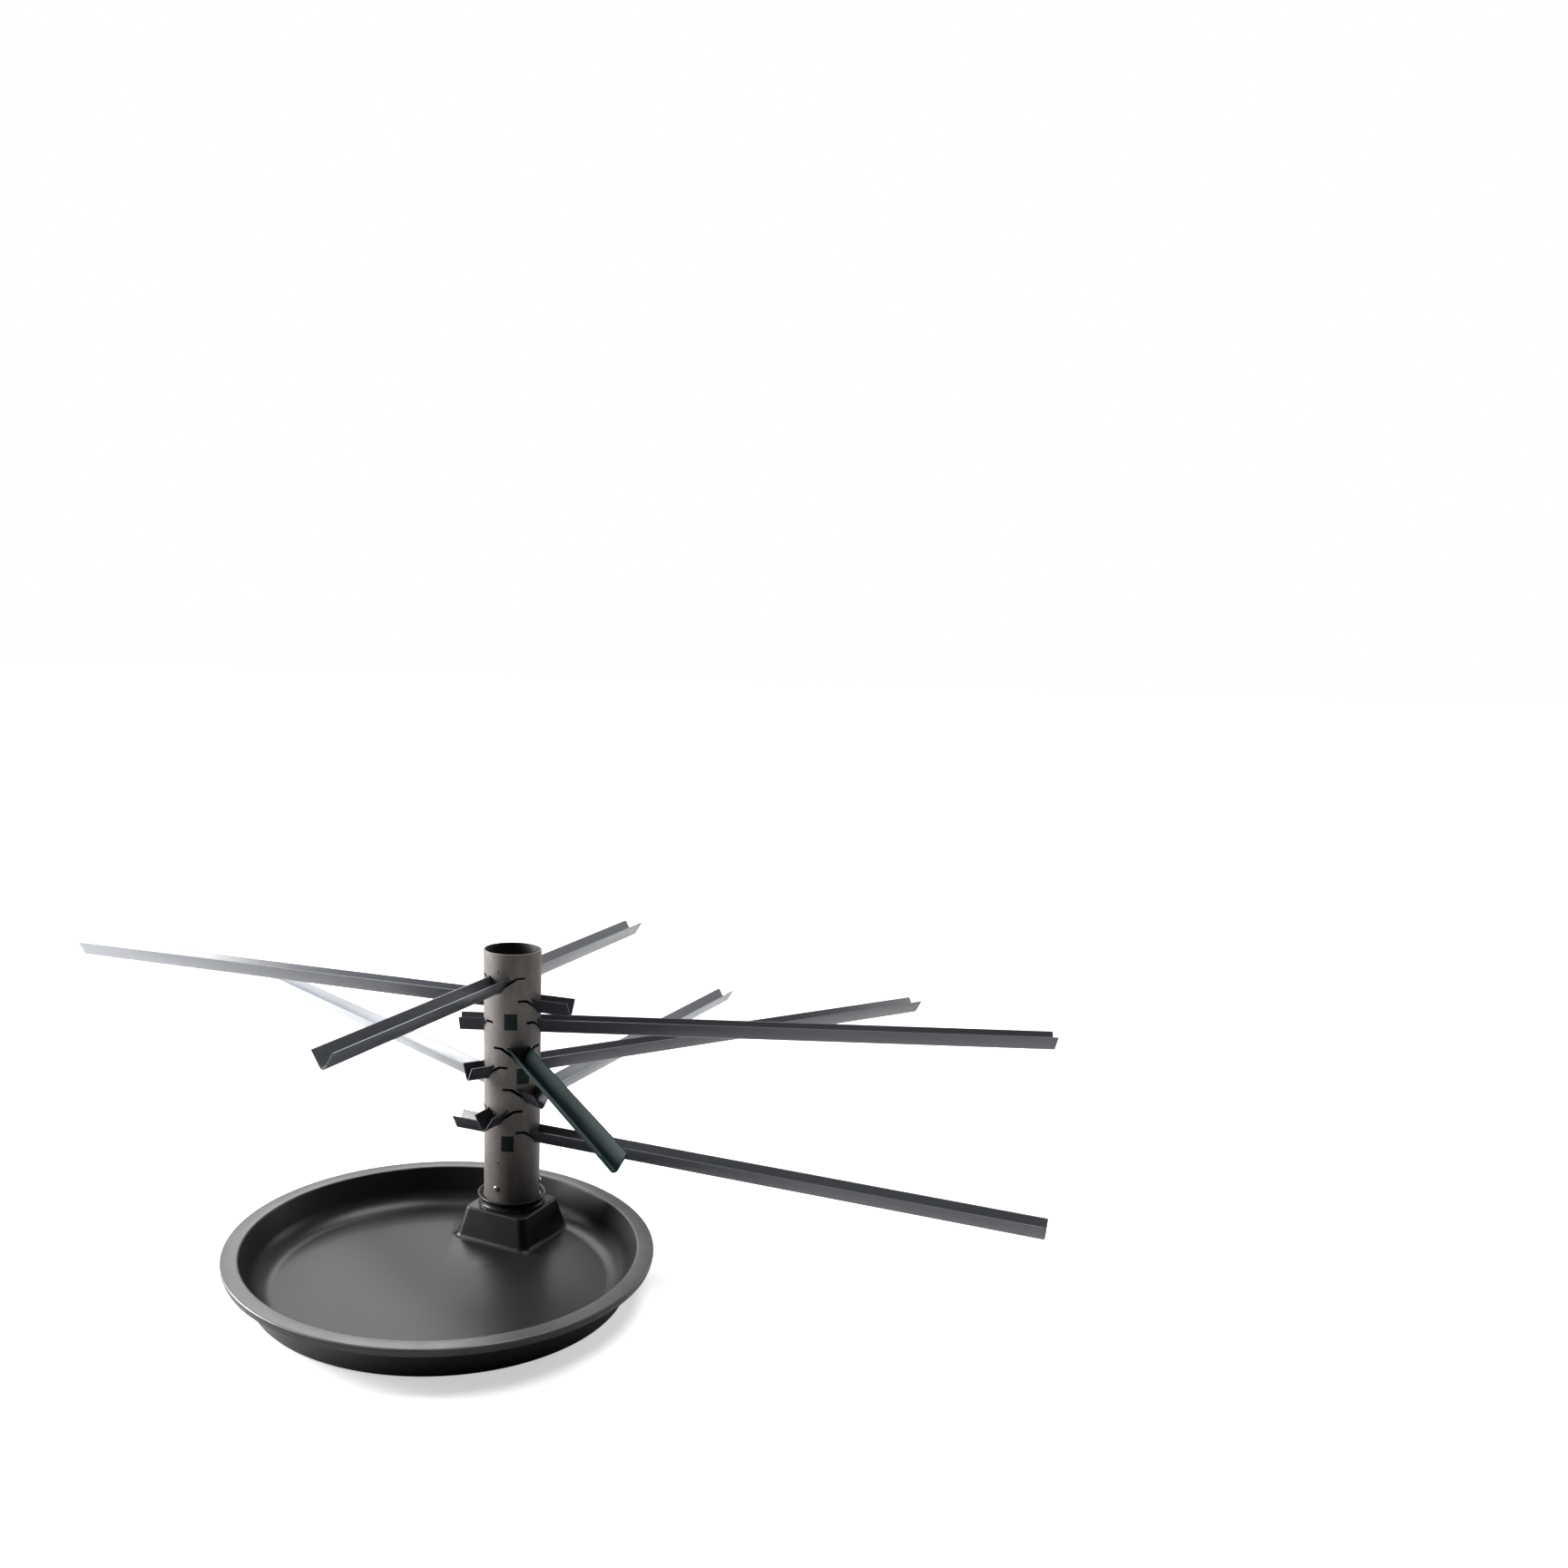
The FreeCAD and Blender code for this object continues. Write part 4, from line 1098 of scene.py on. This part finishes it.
# ----------------------------------------------------------------------------
# Studio
# ----------------------------------------------------------------------------
@dataclass(frozen=True)
class Softbox:
    """A square area light that faces the mast's middle.

    Attributes:
        name: The light's name.
        spot: Where it hangs.
        size: Its side in metres.
        power: Its power in watts.
    """

    name: str
    spot: tuple[float, float, float]
    size: float
    power: float
    target: tuple[float, float, float] = (0.0, 0.0, 0.15)

    def hang(self) -> None:
        """Make the light and turn it to its target."""
        data = bpy.data.lights.new(self.name, "AREA")
        data.shape = "SQUARE"
        data.size = self.size
        data.energy = self.power
        lamp = bpy.data.objects.new(self.name, data)
        lamp.location = self.spot
        aim = Vector(self.target) - Vector(self.spot)
        lamp.rotation_euler = aim.to_track_quat("-Z", "Y").to_euler()
        bpy.context.scene.collection.objects.link(lamp)


@dataclass
class Studio:
    """Pale floor, a surround that is bright behind the object, soft lights and the camera."""

    floor_size: float = 60.0
    floor_glow: float = 0.55
    dim: float = 0.015
    bright: float = 0.60
    bright_from: Vector = field(default_factory=lambda: Vector((-0.50, 0.80, 0.34)))
    bright_edge: float = -0.25
    overhead: float = 1.8
    overhead_spread: float = 28.0
    overhead_from: Vector = field(default_factory=lambda: Vector((0.22, 0.20, 0.95)))
    softboxes: tuple[Softbox, ...] = (
        Softbox("key", (-2.1, 0.3, 1.0), 1.2, 110.0),
        Softbox("back", (-0.76, 2.1, 1.98), 1.35, 32.0),
        Softbox("edge", (1.9, 1.2, 0.9), 0.8, 9.0),
    )
    lens: float = 30.54
    sensor: float = 36.0
    shift: tuple[float, float] = (0.0949, 0.1366)
    eye: tuple[float, float, float] = (0.1588, -1.6789, 0.7870)
    pitch: float = 14.97
    yaw: float = 0.05
    roll: float = 1.64

    def build(self) -> None:
        """Make the floor, the world, the lights and the camera."""
        self.floor()
        self.world()
        self.sun()
        for softbox in self.softboxes:
            softbox.hang()
        self.camera()

    def floor(self) -> None:
        """A wide pale floor that isn't part of the object. It glows a little to the eye."""
        bm = bmesh.new()
        bmesh.ops.create_grid(bm, x_segments=1, y_segments=1, size=self.floor_size / 2)
        floor = finish_mesh(bm, "floor")
        mat = bpy.data.materials.new("pale_floor")
        mat.use_nodes = True
        tree = NodeTree(mat)
        where = tree.mapping(Coords.OBJECT, (1.0, 1.0, 1.0), (0.0, 0.0, 0.0))
        tree.link(tree.ramp(tree.noise(where, 3.0, 3.0), 0.3, 0.7, (0.86, 0.86, 0.86),
                            (0.89, 0.89, 0.89)), tree.shader.inputs["Base Color"])
        tree.shader.inputs["Roughness"].default_value = 0.8
        tree.shader.inputs["Emission Color"].default_value = (1.0, 1.0, 1.0, 1.0)
        seen = mat.node_tree.nodes.new("ShaderNodeLightPath")
        tree.link(tree.span(seen.outputs["Is Camera Ray"], 0.0, 1.0, 0.0, self.floor_glow),
                  tree.shader.inputs["Emission Strength"])
        floor.data.materials.append(mat)

    def world(self) -> None:
        """A white surround to look at, which lights the object mostly from one side."""
        world = bpy.data.worlds.new("surround")
        world.use_nodes = True
        nodes, links = world.node_tree.nodes, world.node_tree.links
        shade = nodes["Background"]
        shade.inputs["Color"].default_value = (1.0, 1.0, 1.0, 1.0)
        where = nodes.new("ShaderNodeTexCoord")
        facing = nodes.new("ShaderNodeVectorMath")
        facing.operation = "DOT_PRODUCT"
        facing.inputs[1].default_value = self.bright_from.normalized()
        links.new(where.outputs["Generated"], facing.inputs[0])
        light = nodes.new("ShaderNodeMapRange")
        light.interpolation_type = "SMOOTHSTEP"
        light.inputs["From Min"].default_value = self.bright_edge
        light.inputs["To Min"].default_value = self.dim
        light.inputs["To Max"].default_value = self.bright
        links.new(facing.outputs["Value"], light.inputs["Value"])
        seen = nodes.new("ShaderNodeLightPath")
        pick = nodes.new("ShaderNodeMix")
        pick.inputs["B"].default_value = 1.0
        links.new(seen.outputs["Is Camera Ray"], pick.inputs["Factor"])
        links.new(light.outputs["Result"], pick.inputs["A"])
        links.new(pick.outputs["Result"], shade.inputs["Strength"])
        bpy.context.scene.world = world

    def sun(self) -> None:
        """A soft light from almost straight above."""
        data = bpy.data.lights.new("overhead", "SUN")
        data.energy = self.overhead
        data.angle = math.radians(self.overhead_spread)
        lamp = bpy.data.objects.new("overhead", data)
        lamp.rotation_euler = (-self.overhead_from).to_track_quat("-Z", "Y").to_euler()
        bpy.context.scene.collection.objects.link(lamp)

    def camera(self) -> None:
        """The camera, above the arms and looking a little down."""
        data = bpy.data.cameras.new("camera")
        data.lens, data.sensor_width = self.lens, self.sensor
        data.shift_x, data.shift_y = self.shift
        data.clip_start, data.clip_end = 0.05, 100.0
        camera = bpy.data.objects.new("camera", data)
        pitch, yaw, roll = (math.radians(a) for a in (self.pitch, self.yaw, self.roll))
        forward = Vector((math.sin(yaw) * math.cos(pitch), math.cos(yaw) * math.cos(pitch),
                          -math.sin(pitch)))
        level = Vector((math.cos(yaw), -math.sin(yaw), 0.0))
        lift = level.cross(forward)
        right = level * math.cos(roll) + lift * math.sin(roll)
        up = lift * math.cos(roll) - level * math.sin(roll)
        basis = Matrix((right, up, -forward)).transposed().to_4x4()
        camera.matrix_world = Matrix.Translation(self.eye) @ basis
        bpy.context.scene.collection.objects.link(camera)
        bpy.context.scene.camera = camera
        bpy.context.scene.view_settings.view_transform = "Standard"


def main() -> None:
    """Build every sub-assembly in order, and the studio round them."""
    logging.basicConfig(level=logging.INFO, format="%(name)s: %(message)s")
    Studio().build()
    # Each slate arm gets its own stops of painted sheen.
    arms = [Arm(node, replace(ARM_SLATE, name=node + "_slate", fade=stops), "arm_slate")
            for node, stops in ARM_PAINTED_SHEEN.items()]
    arms.append(Arm("arm_4", ARM_GREEN, "arm_green"))
    low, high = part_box("mast_tube")
    radius = (high.x - low.x) / 2
    Basin().build()
    Socket().build()
    Collar().build()
    Mast(arms).build()
    MastScrews().build(radius)
    Markers().build(radius)
    for arm in arms:
        arm.build()
    HiddenFittings().dress()


if __name__ == "__main__":
    main()
